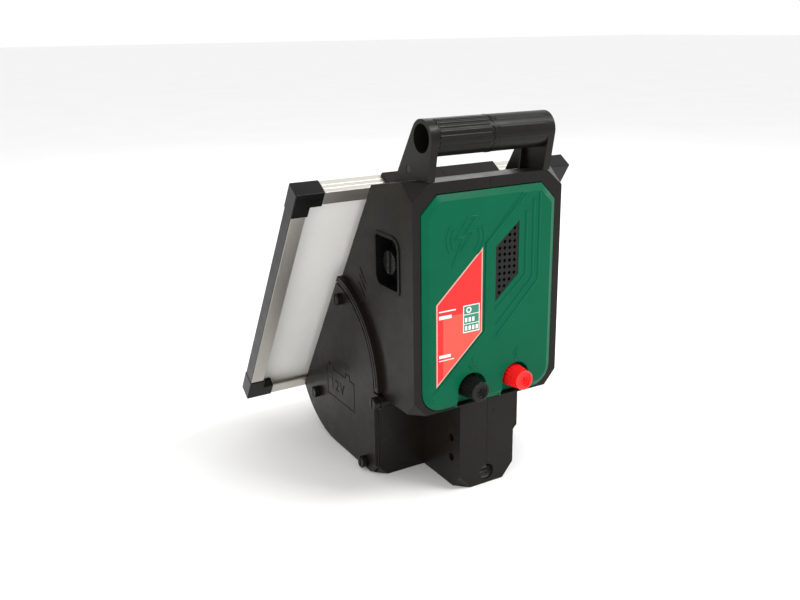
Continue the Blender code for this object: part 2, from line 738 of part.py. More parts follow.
def cover_bosses():
    """Bosses for the battery cover's screws, with webs to the nearest wall, and their holes."""
    bosses, holes = [], []
    inner_x, outer_x = -BOX_END_X - 1, -BOX_END_X + COVER_BOSS_DEPTH
    for index, (y, z) in enumerate(COVER_SCREW_PLACES):
        place = ((0, y, z), (1, 0, 0))
        name = f"cover_boss_{index}"
        bosses.append(rod(name, COVER_BOSS_RADIUS, inner_x, outer_x, *place, 20, cutters))
        hole = (COVER_SCREW_RADIUS + GAP, inner_x - SPARE, COVER_SCREW_LENGTH - BOX_END_X)
        holes.append(rod(name + "_pilot", *hole, *place, 16, cutters))
    centre = Vector((DRUM_Y, DRUM_Z))
    for index, place in enumerate(COVER_SCREW_PLACES[:2]):
        here = Vector(place)
        away = (here - centre).normalized()
        across = Vector((-away.y, away.x)) * WALL / 2
        wall = centre + away * (DRUM_RADIUS - WALL / 2)
        web = [tuple(p) for p in (here - across, wall - across, wall + across, here + across)]
        bosses.append(plate(f"cover_web_{index}", [web], inner_x - 1, outer_x - 1, "X", cutters))
    y, z = COVER_SCREW_PLACES[2]
    web = rectangle(y - WALL / 2, y + WALL / 2, WALL / 2, z)
    bosses.append(plate("cover_web_2", [web], inner_x - 1, outer_x - 1, "X", cutters))
    return bosses, holes


def housing_half(name, side, shared):
    """One half of the housing, from the seam outwards."""
    half = plate(name, [shared["body"]], -HALF_WIDTH, HALF_WIDTH, "X")
    join(half, *shared["blocks"], rim_block(side))
    cut(half, shared["panel_space"])
    join(half, shared["lip"])
    cut(half, *shared["facets"], *shared["hollows"])
    bosses, holes = boss_set(side)
    join(half, *bosses)
    if side < 0:
        cover_boss, pilots = cover_bosses()
        seat = plate("battery_cover_seat", [drum_outline(-COVER_SEAT_SPARE)], -FAR, -BOX_END_X, "X", cutters)
        window = plate("recess_window", [recess_outline(-GAP)], -FAR, WALL + 1 - HALF_WIDTH, "X", cutters)
        join(half, *cover_boss)
        cut(half, seat, window, *pilots)
    cut(half, *holes, *vent_grooves(side), *shared["ports"])
    ends = sorted((side * GAP / 2, -side * FAR))
    cut(half, box(name + "_seam", (ends[0], -FAR, -FAR), (ends[1], FAR, FAR), cutters))
    return finish(half, BLACK, 0.42)


def housing_ports():
    """Holes for the clamp screw, the leads and the two screws into the panel."""
    front = (0, FRONT_Y + WALL + 1, CLAMP_Z)
    found = [rod("clamp_port", CLAMP_HOLE_RADIUS, 0, WALL + SPARE, front, (0, -1, 0), 32, cutters)]
    out = (0, math.cos(PANEL_TILT), math.sin(PANEL_TILT))
    place = (LEAD_X, *on_panel(LEAD_DOWN, -GAP - WALL / 2))
    found.append(rod("panel_lead_port", PORT_RADIUS, -SPARE, SPARE, place, out, 20, cutters))
    y, z = battery_port()
    radial = (0, y - DRUM_Y, z - DRUM_Z)
    found.append(rod("battery_lead_port", PORT_RADIUS, -SPARE, SPARE, (LEAD_X, y, z), radial, 20, cutters))
    for side in (-1, 1):
        place = (side * PANEL_SCREW_X, *on_panel(PANEL_SCREW_DOWN, -GAP - WALL / 2))
        name = f"panel_screw_port_{side}"
        found.append(rod(name, SCREW_RADIUS + GAP, -SPARE, SPARE, place, out, 12, cutters))
    return found


def build_housing():
    """Both halves and the screws that close them."""
    body, blocks, panel_space, lip = outer_shapes()
    shared = {
        "body": body,
        "blocks": blocks,
        "panel_space": panel_space,
        "lip": lip,
        "facets": facet_cutters(("roof", "chin", "column", "foot"), 0),
        "hollows": cavities() + front_openings(),
        "ports": housing_ports(),
    }
    housing_half("housing_left", -1, shared)
    housing_half("housing_right", 1, shared)
    tip = BOSS_FLOOR - SCREW_LENGTH - GAP
    profile = screw_profile(SCREW_RADIUS, tip, BOSS_FLOOR + GAP, SCREW_HEAD_RADIUS, SCREW_HEAD)
    for index, (y, z, head) in enumerate(screw_places()):
        screw = turned(f"housing_screw_{index + 1}", profile, (0, y, z), (head, 0, 0), 12)
        finish(screw, STEEL, 0.35, 1.0)


# ---------------------------------------------------------------- handle


def post_outline():
    """Side view of a handle post: a foot on the roof, drawn in to the round grip."""
    grip = (GRIP_Y, GRIP_Z)
    back, ridge, front = roof_line(GAP, FRONT_Y + POST_FOOT_DEPTH, FRONT_Y)
    start = tangent_angle(grip, GRIP_RADIUS, back, 1)
    end = tangent_angle(grip, GRIP_RADIUS, front, -1) + 2 * math.pi
    return [front, ridge, back] + arc(grip, GRIP_RADIUS, start, end)


def post_rib(name, inner, side):
    """The gusset between a post's inner face and the roof."""
    middle = FRONT_Y + POST_FOOT_DEPTH / 2
    low = HOUSING_TOP_Z - POST_THICKNESS
    rings = []
    for y in (middle - RIB_THICKNESS / 2, middle + RIB_THICKNESS / 2):
        rings.append([(inner + side, y, low), (inner - side * RIB_FOOT, y, low)])
        rings.append([(inner + side, y, GRIP_Z), (inner - side * RIB_TOP, y, GRIP_Z - GRIP_RADIUS / 2)])
    return hull(name, rings, cutters)


def build_handle():
    """Two handle halves that meet at the middle of the grip, each with a post and an open end."""
    grip = (0, GRIP_Y, GRIP_Z)
    bore = rod("grip_bore", GRIP_BORE_RADIUS, -FAR, FAR, grip, (1, 0, 0), 32, cutters)
    under = [(GRIP_Y - FAR, -FAR), (GRIP_Y + FAR, -FAR), *roof_line(GAP, GRIP_Y + FAR, GRIP_Y - FAR)]
    roof = plate("handle_roof", [under], -FAR, FAR, "X", cutters)
    screw_place = (0, FRONT_Y + HANDLE_SCREW_BACK, HOUSING_TOP_Z + HANDLE_SCREW_UP)
    seat = POST_OUTER_X - SCREW_HEAD - GAP
    profile = screw_profile(SCREW_RADIUS, seat - HANDLE_SCREW_LENGTH, seat, SCREW_HEAD_RADIUS, SCREW_HEAD)
    for name, side in (("handle_left", -1), ("handle_right", 1)):
        inner = side * (POST_OUTER_X - POST_THICKNESS)
        post = plate(name, [post_outline()], *sorted((inner, side * POST_OUTER_X)), "X")
        ends = sorted((side * GAP / 2, side * (POST_OUTER_X - 1)))
        tube = plate(name + "_tube", [circle(grip[1:], GRIP_RADIUS, 40)], *ends, "X", cutters)
        out = (side, 0, 0)
        hole = rod(name + "_hole", SCREW_RADIUS + GAP, 0, FAR, screw_place, out, 12, cutters)
        sink = rod(name + "_sink", SCREW_HEAD_RADIUS + GAP, seat - GAP, FAR, screw_place, out, 16, cutters)
        join(post, tube, post_rib(name + "_rib", inner, side))
        finish(cut(post, bore, roof, hole, sink), BLACK, 0.42)
        finish(turned(name + "_screw", profile, screw_place, out, 12), STEEL, 0.35, 1.0)


def roof_line(lift, back_y, front_y):
    """The roof in the side view, from back to front, lifted off it."""
    end_y, end_z = on_panel(-GAP - HOOK_THICKNESS, -GAP)
    ridge_y = FRONT_Y + TOP_FLAT
    fall = (HOUSING_TOP_Z - end_z) / (end_y - ridge_y)
    back = (back_y, HOUSING_TOP_Z - fall * (back_y - ridge_y) + lift)
    return [back, (ridge_y, HOUSING_TOP_Z + lift), (front_y, HOUSING_TOP_Z + lift)]


# ---------------------------------------------------------------- front cover


def cover_shell(name, inset, lift, back_y, collection):
    """The cover's outside, inset all round and moved back by a lift: a block with a sloped edge."""
    edge_y = COVER_FRONT_Y + COVER_EDGE_DROP + lift
    outer = [(x, edge_y, z) for x, z in cover_outline(inset)]
    back = [(x, back_y, z) for x, z in cover_outline(inset)]
    front = [(x, COVER_FRONT_Y + lift, z) for x, z in cover_outline(inset * 0.6 + COVER_EDGE_WIDTH)]
    return hull(name, [outer, back, front], collection)


def build_front_cover():
    """The green cover with its terminal notches, seal, label plate and grille."""
    cover = cover_shell("front_cover", 0, 0, COVER_BACK_Y, parts)
    hollow = cover_shell("cover_hollow", COVER_WALL, COVER_WALL, COVER_BACK_Y + SPARE, cutters)
    field = [on_cover(*bend) for bend in RIDGE_BENDS]
    field += [(-FAR, field[-1][1]), (-FAR, FAR * 2), (field[0][0], FAR * 2)]
    step = plate("cover_step", [field], COVER_FRONT_Y - SPARE, COVER_FRONT_Y + COVER_STEP, "Y", cutters)
    cut(cover, hollow, step)
    floor_y = COVER_BACK_Y - COVER_WALL
    openings = []
    for name, x in (("ground", GROUND_X), ("fence", FENCE_X)):
        front = COVER_FRONT_Y + COVER_WALL
        cup = plate(name + "_cup", [notch_outline(x, -COVER_WALL, 0)], front, COVER_BACK_Y, "Y", cutters)
        join(cover, cup)
        notch = notch_outline(x, 0, SPARE)
        openings.append(plate(name + "_notch", [notch], COVER_FRONT_Y - SPARE, floor_y, "Y", cutters))
        place = (x, COVER_BACK_Y, TERMINAL_Z)
        hole = (STUD_RADIUS + GAP, -SPARE, COVER_WALL + SPARE)
        openings.append(rod(name + "_hole", *hole, place, (0, -1, 0), 16, cutters))
    ends = (COVER_FRONT_Y - SPARE, COVER_BACK_Y)
    openings.append(plate("grille_window", [slanted(GRILLE_CORNERS, -GAP)], *ends, "Y", cutters))
    label_y = COVER_FRONT_Y + COVER_STEP + GAP
    ends = (COVER_FRONT_Y - SPARE, label_y + GAP)
    openings.append(plate("label_pocket", [slanted(LABEL_CORNERS, -GAP)], *ends, "Y", cutters))
    finish(cut(cover, *openings), GREEN, 0.38)

    label = plate("label_plate", [slanted(LABEL_CORNERS, 0)], label_y - LABEL_THICKNESS, label_y, "Y")
    finish(label, RED_LABEL, 0.35)
    low = COVER_FRONT_Y + LABEL_THICKNESS
    loops = [slanted(GRILLE_CORNERS, 0), *grille_holes()]
    finish(plate("grille", loops, low, low + GRILLE_THICKNESS, "Y"), BLACK, 0.5)
    loops = [cover_outline(2 * GAP), cover_outline(LEDGE_WIDTH - 1)]
    front = COVER_BACK_Y + GAP
    finish(plate("cover_seal", loops, front, front + SEAL_THICKNESS, "Y"), RUBBER, 0.8)


def grille_holes():
    """Diamond holes of the grille, in rows that follow its slant."""
    high_right, high_left, low_left, low_right = slanted(GRILLE_CORNERS, GRILLE_MARGIN)
    column_width = (low_right[0] - low_left[0]) / GRILLE_COLUMNS
    row_height = (high_left[1] - low_left[1]) / GRILLE_ROWS
    slant = (low_right[1] - low_left[1]) / (low_right[0] - low_left[0])
    half_width, half_height = (column_width - GRILLE_BAR) / 2, (row_height - GRILLE_BAR) / 2
    holes = []
    for column in range(GRILLE_COLUMNS):
        across = (column + 0.5) * column_width
        x = low_left[0] + across
        for row in range(GRILLE_ROWS):
            z = low_left[1] + slant * across + (row + 0.5) * row_height
            hole = [(x - half_width, z), (x, z - half_height), (x + half_width, z), (x, z + half_height)]
            holes.append(hole)
    return holes


def build_terminals():
    """For each terminal: a stud, the nut that holds it and a fluted knob."""
    floor_y = COVER_BACK_Y - COVER_WALL
    head_y = COVER_BACK_Y + GAP
    tail_y = head_y + STUD_HEAD
    profile = [(0, STUD_INTO_KNOB - floor_y), (STUD_RADIUS, STUD_INTO_KNOB - floor_y)]
    profile += [(STUD_RADIUS, -head_y), (NUT_RADIUS, -head_y), (NUT_RADIUS, -tail_y)]
    profile += [(STUD_RADIUS, -tail_y), (STUD_RADIUS, -head_y - STUD_TAIL), (0, -head_y - STUD_TAIL)]
    for name, x, colour in (("ground", GROUND_X, BLACK), ("fence", FENCE_X, RED_KNOB)):
        finish(turned(name + "_stud", profile, (x, 0, TERMINAL_Z), (0, -1, 0), 16), STEEL, 0.3, 1.0)
        loops = [circle((x, TERMINAL_Z), NUT_RADIUS, 6)]
        loops.append(circle((x, TERMINAL_Z), STUD_RADIUS + NUT_BORE_GAP, 16))
        nut = plate(name + "_nut", loops, tail_y + GAP, tail_y + GAP + NUT_HEIGHT, "Y")
        finish(nut, STEEL, 0.35, 1.0)
        finish(fluted_knob(name + "_knob", x, floor_y - GAP), colour, 0.4)


def fluted_knob(name, x, base_y):
    """A tapered knob with flutes, a blind hole for its stud and a stepped face."""
    tip_y = base_y - KNOB_LENGTH
    obj = plate(name, [flutes(KNOB_RADIUS)], tip_y, base_y, "Y")
    for vertex in obj.data.vertices:
        if vertex.co.z > 0:
            vertex.co.xy *= KNOB_TIP_RADIUS / KNOB_RADIUS
    obj.location.x = x * MM
    obj.location.z = TERMINAL_Z * MM
    centre = (x, tip_y, TERMINAL_Z)
    face = [(0, SPARE), (KNOB_FACE_STEPS[0][0], SPARE)]
    for index, (radius, depth) in enumerate(KNOB_FACE_STEPS):
        following = KNOB_FACE_STEPS[index + 1][0] if index + 1 < len(KNOB_FACE_STEPS) else 0
        face += [(radius, -depth), (following, -depth)]
    recess = turned(name + "_face", face, centre, (0, -1, 0), 20, cutters)
    hole = (STUD_RADIUS + GAP, -KNOB_LENGTH - SPARE, KNOB_BORE_DEPTH - KNOB_LENGTH)
    return cut(obj, recess, rod(name + "_bore", *hole, centre, (0, -1, 0), 16, cutters))


def flutes(radius):
    """A wavy circle about the origin: one valley and one land for each flute."""
    points = []
    for k in range(KNOB_FLUTES * 3):
        angle = 2 * math.pi * k / (KNOB_FLUTES * 3)
        reach = radius - (FLUTE_DEPTH if k % 3 == 0 else 0)
        points.append((reach * math.cos(angle), reach * math.sin(angle)))
    return points


# ---------------------------------------------------------------- switch


def build_switch():
    """The cup in the left side, the switch behind its floor and the knob inside it."""
    wall_x = -HALF_WIDTH
    front_x = wall_x - RECESS_PROUD
    floor_x = wall_x + RECESS_DEPTH
    cup = plate("switch_recess_cup", [recess_outline(0)], front_x, floor_x, "X")
    lip = plate("cup_lip", [recess_outline(-RECESS_LIP - GAP)], front_x - GAP, wall_x - GAP, "X", cutters)
    ends = (front_x - SPARE, floor_x - RECESS_WALL)
    hollow = plate("cup_hollow", [recess_outline(RECESS_WALL)], *ends, "X", cutters)
    place = ((0, SWITCH_Y, SWITCH_Z), (1, 0, 0), 16, cutters)
    bore = SWITCH_SHAFT_RADIUS + SWITCH_SHAFT_GAP
    hole = rod("shaft_hole", bore, floor_x - SPARE, floor_x + SPARE, *place)
    finish(cut(join(cup, lip), hollow, hole), BLACK, 0.5)

    half = SWITCH_BODY_HALF
    low = (floor_x + GAP, SWITCH_Y - half, SWITCH_Z - half)
    body = box("switch_body", low, (floor_x + GAP + SWITCH_BODY_LENGTH, SWITCH_Y + half, SWITCH_Z + half))
    base = floor_x - RECESS_WALL - GAP
    shaft_end = base + SWITCH_SHAFT_LENGTH
    socket = rod("shaft_socket", bore, floor_x - SPARE, shaft_end + GAP, *place)
    finish(cut(body, socket), RUBBER, 0.5)

    face = base - SWITCH_KNOB_LENGTH
    knob = plate("switch_knob", [flutes(SWITCH_KNOB_RADIUS)], face, base, "X")
    knob.location.yz = SWITCH_Y * MM, SWITCH_Z * MM
    shaft = rod("switch_shaft", SWITCH_SHAFT_RADIUS, base - 2, shaft_end, *place)
    reach = SWITCH_KNOB_RADIUS - SWITCH_BAR_PROUD
    low = (face - SWITCH_BAR_PROUD, SWITCH_Y - SWITCH_BAR_WIDTH / 2, SWITCH_Z - reach)
    high = (face + SWITCH_BAR_PROUD, SWITCH_Y + SWITCH_BAR_WIDTH / 2, SWITCH_Z + reach)
    finish(join(knob, shaft, box("switch_bar", low, high, cutters)), BLACK, 0.35)


# ---------------------------------------------------------------- battery


def build_battery():
    """The battery on its pad, its two tabs and the two leads up to the circuit board."""
    length, depth, height = BATTERY_SIZE
    front, back = BATTERY_FRONT_Y, BATTERY_FRONT_Y + depth
    low = WALL + GAP
    pad = box("battery_pad", (-length / 2, front, low), (length / 2, back, low + PAD_THICKNESS))
    finish(pad, RUBBER, 0.95)
    low += PAD_THICKNESS + GAP
    top = low + height
    finish(box("battery", (-length / 2, front, low), (length / 2, back, top)), GREY, 0.5)
    for name, side, colour in (("plus", -1, RED_LEAD), ("minus", 1, BLACK)):
        x = side * TAB_X
        y = front + TAB_BACK
        width, thickness, tall = TAB_SIZE
        low_corner = (x - width / 2, y, top + GAP)
        tab = box(f"battery_tab_{name}", low_corner, (x + width / 2, y + thickness, top + GAP + tall))
        finish(tab, STEEL, 0.3, 1.0)
        start = Vector((x, y + thickness / 2, top + GAP + tall + LEAD_RADIUS))
        finish(wire(f"battery_lead_{name}", battery_lead_route(start, side), LEAD_RADIUS), colour, 0.5)
    port_y, port_z = battery_port()
    grommet("battery_grommet", (LEAD_X, port_y, port_z), (0, port_y - DRUM_Y, port_z - DRUM_Z), bulge=0.4)


def battery_lead_route(start, side):
    """Places along a battery lead: up off its tab, square through the grommet and on to the board."""
    port_y, port_z = battery_port()
    out = Vector((0, port_y - DRUM_Y, port_z - DRUM_Z)).normalized()
    port = Vector((LEAD_X + side * (LEAD_RADIUS + 0.5), port_y, port_z))
    spread = Vector((side * 5, 0, 0))
    route = [start, start + Vector((-start.x * 0.1, 3, 15))]
    route.append(Vector(((start.x + port.x) / 2, start.y + 8, start.z + 34)))
    route += [port - out * 24 + spread, port - out * 12, port - out * 5, port + out * 5, port + out * 16]
    route += [(port.x, BOARD_Y + 12, BOARD_LOW_Z + 30), (port.x, BOARD_Y + 4, BOARD_LOW_Z + 34)]
    return route


def build_battery_cover():
    """The lift-off cover on the left end of the drum, its seal and its four captive screws."""
    outer = -DRUM_HALF
    inner = outer + BATTERY_COVER_THICKNESS
    cover = plate("battery_cover", [drum_outline(BATTERY_COVER_INSET)], outer, inner, "X")
    root = DRUM_FRONT_Y + EAR_RADIUS
    ear = [(root, EAR_Z - EAR_RADIUS), (root, EAR_Z + EAR_RADIUS)]
    ear += arc((EAR_Y, EAR_Z), EAR_RADIUS, math.pi / 2, 3 * math.pi / 2)
    join(cover, plate("cover_ear", [ear], outer, inner, "X", cutters))
    seat = GAP - outer
    top = seat + COVER_SCREW_HEAD
    head, edge = COVER_SCREW_HEAD_RADIUS, COVER_SCREW_EDGE
    tip = BOX_END_X - COVER_SCREW_LENGTH + COVER_SCREW_END_GAP
    profile = [(0, top), (head - edge, top), (head, top - edge), (head, seat)]
    profile += [(COVER_SCREW_RADIUS, seat), (COVER_SCREW_RADIUS, tip), (0, tip)]
    width, depth = COVER_SCREW_SLOT
    holes = []
    for index, (y, z) in enumerate(COVER_SCREW_PLACES):
        name = f"cover_screw_{index + 1}"
        size = (COVER_SCREW_RADIUS + GAP, outer - SPARE, inner + SPARE)
        holes.append(rod(name + "_hole", *size, (0, y, z), (1, 0, 0), 16, cutters))
        screw = turned(name, profile, (0, y, z), (-1, 0, 0), 20)
        low_corner = (-top - SPARE, y - width / 2, z - head - SPARE)
        slot = box(name + "_slot", low_corner, (depth - top, y + width / 2, z + head + SPARE), cutters)
        finish(cut(screw, slot), BLACK, 0.4)
    finish(cut(cover, *facet_cutters(("foot",), 0.0), *holes), BLACK, 0.40)
    loops = [drum_outline(0.8), drum_outline(WALL - 0.5)]
    ends = (-SEAL_OUTER_X, BATTERY_SEAL_THICKNESS - SEAL_OUTER_X)
    seal = plate("battery_cover_seal", loops, *ends, "X")
    finish(cut(seal, *facet_cutters(("foot",), 0.2)), RUBBER, 0.8)


# ---------------------------------------------------------------- solar panel


def panel_datum():
    """An empty at the middle of the panel's top back edge: X across, Y down the slope, Z outwards."""
    empty = add_object("panel_datum", None, parts)
    down = Vector((0, math.sin(PANEL_TILT), -math.cos(PANEL_TILT)))
    out = Vector((0, math.cos(PANEL_TILT), math.sin(PANEL_TILT)))
    turn = Matrix((Vector((1, 0, 0)), down, out)).transposed().to_4x4()
    origin = Vector((0, PANEL_TOP_Y, PANEL_TOP_Z)) * MM
    empty.matrix_world = Matrix.Translation(origin) @ turn
    return empty


def rail_section():
    """Section of a panel rail: distance in from the outer edge, and out of the back plane."""
    top = PANEL_THICKNESS
    shelf = SHELF_LOW_N + RAIL_SHEET
    return [
        (0, 0),
        (RAIL_FLANGE, 0),
        (RAIL_FLANGE, RAIL_SHEET),
        (RAIL_WALL, RAIL_SHEET),
        (RAIL_WALL, SHELF_LOW_N),
        (RAIL_LIP, SHELF_LOW_N),
        (RAIL_LIP, shelf),
        (RAIL_WALL, shelf),
        (RAIL_WALL, top - RAIL_SHEET),
        (RAIL_LIP, top - RAIL_SHEET),
        (RAIL_LIP, top),
        (0, top),
    ]


def panel_screws():
    """The two screws through the housing's back wall into the top rail. Gives their holes."""
    holes = []
    out = (0, math.cos(PANEL_TILT), math.sin(PANEL_TILT))
    seat = WALL + 2 * GAP
    tip = -RAIL_SHEET - PANEL_SCREW_TAIL
    profile = screw_profile(SCREW_RADIUS, tip, seat, SCREW_HEAD_RADIUS, SCREW_HEAD)
    for name, side in (("left", -1), ("right", 1)):
        place = (side * PANEL_SCREW_X, *on_panel(PANEL_SCREW_DOWN, 0))
        inwards = tuple(-part for part in out)
        finish(turned(f"panel_screw_{name}", profile, place, inwards, 12), STEEL, 0.35, 1.0)
        holes.append(rod(f"rail_hole_{side}", SCREW_RADIUS + GAP, -SPARE, SPARE, place, out, 12, cutters))
    return holes


def build_panel():
    """Four rails, four corner caps, the laminate and its backsheet, the junction box and its lead."""
    datum = panel_datum()
    half = PANEL_WIDTH / 2
    leg = CAP_LEG + GAP
    section = rail_section()
    rails = {
        "panel_rail_top": ([(u, n) for u, n in section], leg - half, half - leg, "X"),
        "panel_rail_bottom": ([(PANEL_LENGTH - u, n) for u, n in section], leg - half, half - leg, "X"),
        "panel_rail_left": ([(u - half, n) for u, n in section], leg, PANEL_LENGTH - leg, "Y"),
        "panel_rail_right": ([(half - u, n) for u, n in section], leg, PANEL_LENGTH - leg, "Y"),
    }
    for name, (outline, low, high, axis) in rails.items():
        rail = plate(name, [outline], low, high, axis, parts, datum)
        if name == "panel_rail_top":
            cut(rail, *panel_screws())
        finish(rail, ALUMINIUM, 0.38, 0.9)
    edge = RAIL_WALL + GAP
    sheet = rectangle(edge - half, half - edge, edge, PANEL_LENGTH - edge)
    layers = {
        "panel_laminate": (LAMINATE_LOW_N, LAMINATE_THICKNESS, (0.01, 0.015, 0.05), 0.1),
        "panel_backsheet": (BACKSHEET_LOW_N, BACKSHEET_THICKNESS, (0.80, 0.80, 0.76), 0.35),
    }
    for name, (low, thickness, colour, roughness) in layers.items():
        finish(plate(name, [sheet], low, low + thickness, "Z", parts, datum), colour, roughness)
    sheet = rectangle(RAIL_WALL - half, half - RAIL_WALL, RAIL_WALL, PANEL_LENGTH - RAIL_WALL)
    ends = (BACKSHEET_LOW_N - GAP, LAMINATE_LOW_N + LAMINATE_THICKNESS + GAP)
    slot = plate("laminate_slot", [sheet], *ends, "Z", cutters, datum)
    for side_name, side in (("left", -1), ("right", 1)):
        for end_name, down in (("top", 1), ("bottom", -1)):
            corner_cap(f"corner_cap_{end_name}_{side_name}", side, down, slot, datum)
    half = JUNCTION_WIDTH / 2
    low_end = LEAD_DOWN - JUNCTION_GAP
    across = rectangle(LEAD_X - half, LEAD_X + half, low_end - JUNCTION_LENGTH, low_end)
    junction = plate("junction_box", [across], JUNCTION_LOW_N, BACKSHEET_LOW_N - GAP, "Z", parts, datum)
    finish(junction, BLACK, 0.5)
    panel_lead()


def corner_cap(name, side, down, slot, datum):
    """The plastic elbow that closes one corner of the panel's frame, a little proud all round."""
    proud = CAP_PROUD
    edge_u = side * (PANEL_WIDTH / 2 + proud)
    edge_v = -proud if down > 0 else PANEL_LENGTH + proud
    leg, width = CAP_LEG + proud, CAP_WIDTH + proud
    corners = [(0, 0), (leg, 0), (leg, width), (width, width), (width, leg), (0, leg)]
    outline = [(edge_u - side * u, edge_v + down * v) for u, v in corners]
    cap = plate(name, [outline], -proud, PANEL_THICKNESS + proud, "Z", parts, datum)
    return finish(cut(cap, slot), BLACK, 0.45)


def panel_lead():
    """The panel's lead: out of the junction box, in through a grommet and on to the board."""
    port = Vector((LEAD_X, *on_panel(LEAD_DOWN, -GAP - WALL / 2)))
    out = Vector((0, math.cos(PANEL_TILT), math.sin(PANEL_TILT)))
    route = [(LEAD_X, *on_panel(LEAD_DOWN - JUNCTION_GAP + GAP, 6.0))]
    route.append((LEAD_X, *on_panel(LEAD_DOWN - JUNCTION_GAP / 3, 5.6)))
    route += [port + out * 3.5, port - out * 5, port - out * 12]
    route += [(LEAD_X, BOARD_Y + 22, port.z - 5), (LEAD_X, BOARD_Y + 4, port.z - 2)]
    finish(wire("panel_lead", route, LEAD_RADIUS), BLACK, 0.5)
    grommet("panel_grommet", tuple(port), tuple(out))


# ---------------------------------------------------------------- electronics


def build_electronics():
    """The circuit board and its large parts, in the space behind the green cover."""
    low_corner = (BOARD_LEFT_X, BOARD_Y, BOARD_LOW_Z)
    high_corner = (HALF_WIDTH - 3 * WALL, BOARD_Y + BOARD_THICKNESS, BOARD_HIGH_Z)
    finish(box("circuit_board", low_corner, high_corner), (0.02, 0.16, 0.06), 0.4)
    low = HOUSING_BOTTOM_Z + WALL + GAP
    width, depth, height = CORE_SIZE
    back = CORE_FRONT_Y + depth
    leg = CORE_LEG / 2
    side = width / 2 - CORE_YOKE + 1
    loops = [rectangle(CORE_X - width / 2, CORE_X + width / 2, low, low + height)]
    for ends in ((CORE_X - side, CORE_X - leg), (CORE_X + leg, CORE_X + side)):
        loops.append(rectangle(*ends, low + CORE_YOKE, low + height - CORE_YOKE))
    finish(plate("transformer_core", loops, CORE_FRONT_Y, back, "Y"), (0.12, 0.11, 0.10), 0.5, 0.5)
    reach = leg + 2 * COIL_OVER
    low_corner = (CORE_X - reach, CORE_FRONT_Y - COIL_OVER, low + CORE_YOKE + 1)
    high_corner = (CORE_X + reach, back + COIL_OVER, low + height - CORE_YOKE - 1)
    coil = box("transformer_coil", low_corner, high_corner)
    low_corner = (CORE_X - leg - GAP, CORE_FRONT_Y - GAP, low)
    high_corner = (CORE_X + leg + GAP, back + GAP, low + height)
    finish(cut(coil, box("coil_bore", low_corner, high_corner, cutters)), (0.45, 0.18, 0.05), 0.5)
    place = (CAPACITOR_X, CAPACITOR_Y, 0)
    size = (CAPACITOR_RADIUS, low, low + CAPACITOR_HEIGHT)
    finish(rod("pulse_capacitor", *size, place, (0, 0, 1), 28), GREY, 0.4)
    place = (LIGHT_X, BOARD_Y - GAP, BOARD_LOW_Z + LIGHT_UP)
    light = rod("indicator_light", LIGHT_RADIUS, 0, LIGHT_LENGTH, place, (0, -1, 0), 16)
    finish(light, (0.1, 0.7, 0.1), 0.2)


# ---------------------------------------------------------------- stake socket


def build_stake_socket():
    """The square steel tube that takes the stake, its welded nut and the clamp screw."""
    middle = (FRONT_Y + WALL + DRUM_FRONT_Y) / 2
    half = STAKE_TUBE / 2
    bore = half - STAKE_TUBE_WALL
    loops = [rectangle(-reach, reach, middle - reach, middle + reach) for reach in (half, bore)]
    tube = plate("stake_tube", loops, STAKE_TUBE_LOW_Z, STAKE_TUBE_LOW_Z + STAKE_TUBE_HEIGHT, "Z")
    place = ((0, 0, CLAMP_Z), (0, -1, 0))
    size = (CLAMP_SCREW_RADIUS + GAP, -middle, half + SPARE - middle)
    finish(cut(tube, rod("clamp_hole", *size, *place, 16, cutters)), STEEL, 0.4, 1.0)
    nut_back = middle - half - GAP
    loops = [circle((0, CLAMP_Z), CLAMP_NUT_RADIUS, 6)]
    loops.append(circle((0, CLAMP_Z), CLAMP_SCREW_RADIUS + NUT_BORE_GAP, 16))
    nut = plate("clamp_nut", loops, nut_back - CLAMP_NUT_HEIGHT, nut_back, "Y")
    finish(nut, STEEL, 0.35, 1.0)
    seat = -FRONT_Y - CLAMP_HEAD_BACK - CLAMP_HEAD
    tip = bore + CLAMP_TIP - middle
    profile = screw_profile(CLAMP_SCREW_RADIUS, tip, seat, CLAMP_HEAD_RADIUS, CLAMP_HEAD)
    screw = turned("clamp_screw", profile, *place, 20)
    width, depth = CLAMP_SLOT
    face = -seat - CLAMP_HEAD
    low_corner = (-CLAMP_HEAD_RADIUS - SPARE, face - SPARE, CLAMP_Z - width / 2)
    high_corner = (CLAMP_HEAD_RADIUS + SPARE, face + depth, CLAMP_Z + width / 2)
    finish(cut(screw, box("clamp_slot", low_corner, high_corner, cutters)), STEEL, 0.25, 1.0)


# ---------------------------------------------------------------- leads and their ports


def battery_port():
    """Side-view place where the battery leads cross the wall above the battery."""
    middle = DRUM_RADIUS - WALL / 2
    return DRUM_Y + middle * math.cos(PORT_ANGLE), DRUM_Z + middle * math.sin(PORT_ANGLE)


def grommet(name, centre, direction, bulge=0.0):
    """A rubber ring through a wall, with a flange on each side. A bulge clears a curved wall."""
    inner = LEAD_RADIUS * 2 + GROMMET_BORE_GAP
    neck = PORT_RADIUS - GAP
    flange = PORT_RADIUS + GROMMET_LIP
    face = WALL / 2 + GAP + bulge
    top = face + GROMMET_FLANGE
    profile = [(inner, top), (flange, top), (flange, face), (neck, face), (neck, -face)]
    profile += [(flange, -face), (flange, -top), (inner, -top)]
    return finish(turned(name, profile, centre, direction, 20), RUBBER, 0.7)


def main():
    clear_scene()
    build_housing()
    build_handle()
    build_front_cover()
    build_terminals()
    build_switch()
    build_battery()
    build_battery_cover()
    build_panel()
    build_electronics()
    build_stake_socket()


main()
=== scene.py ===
"""Looks of the solar fence energizer: moulded black case, green front, red label, tilted panel.

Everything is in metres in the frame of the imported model: +X to the object's right, +Y to its back,
+Z up, with the origin on the flat base. Places come from the boxes of the model's own nodes.
"""

import json
import math

import bmesh
import bpy
import numpy as np
from mathutils import Matrix, Vector

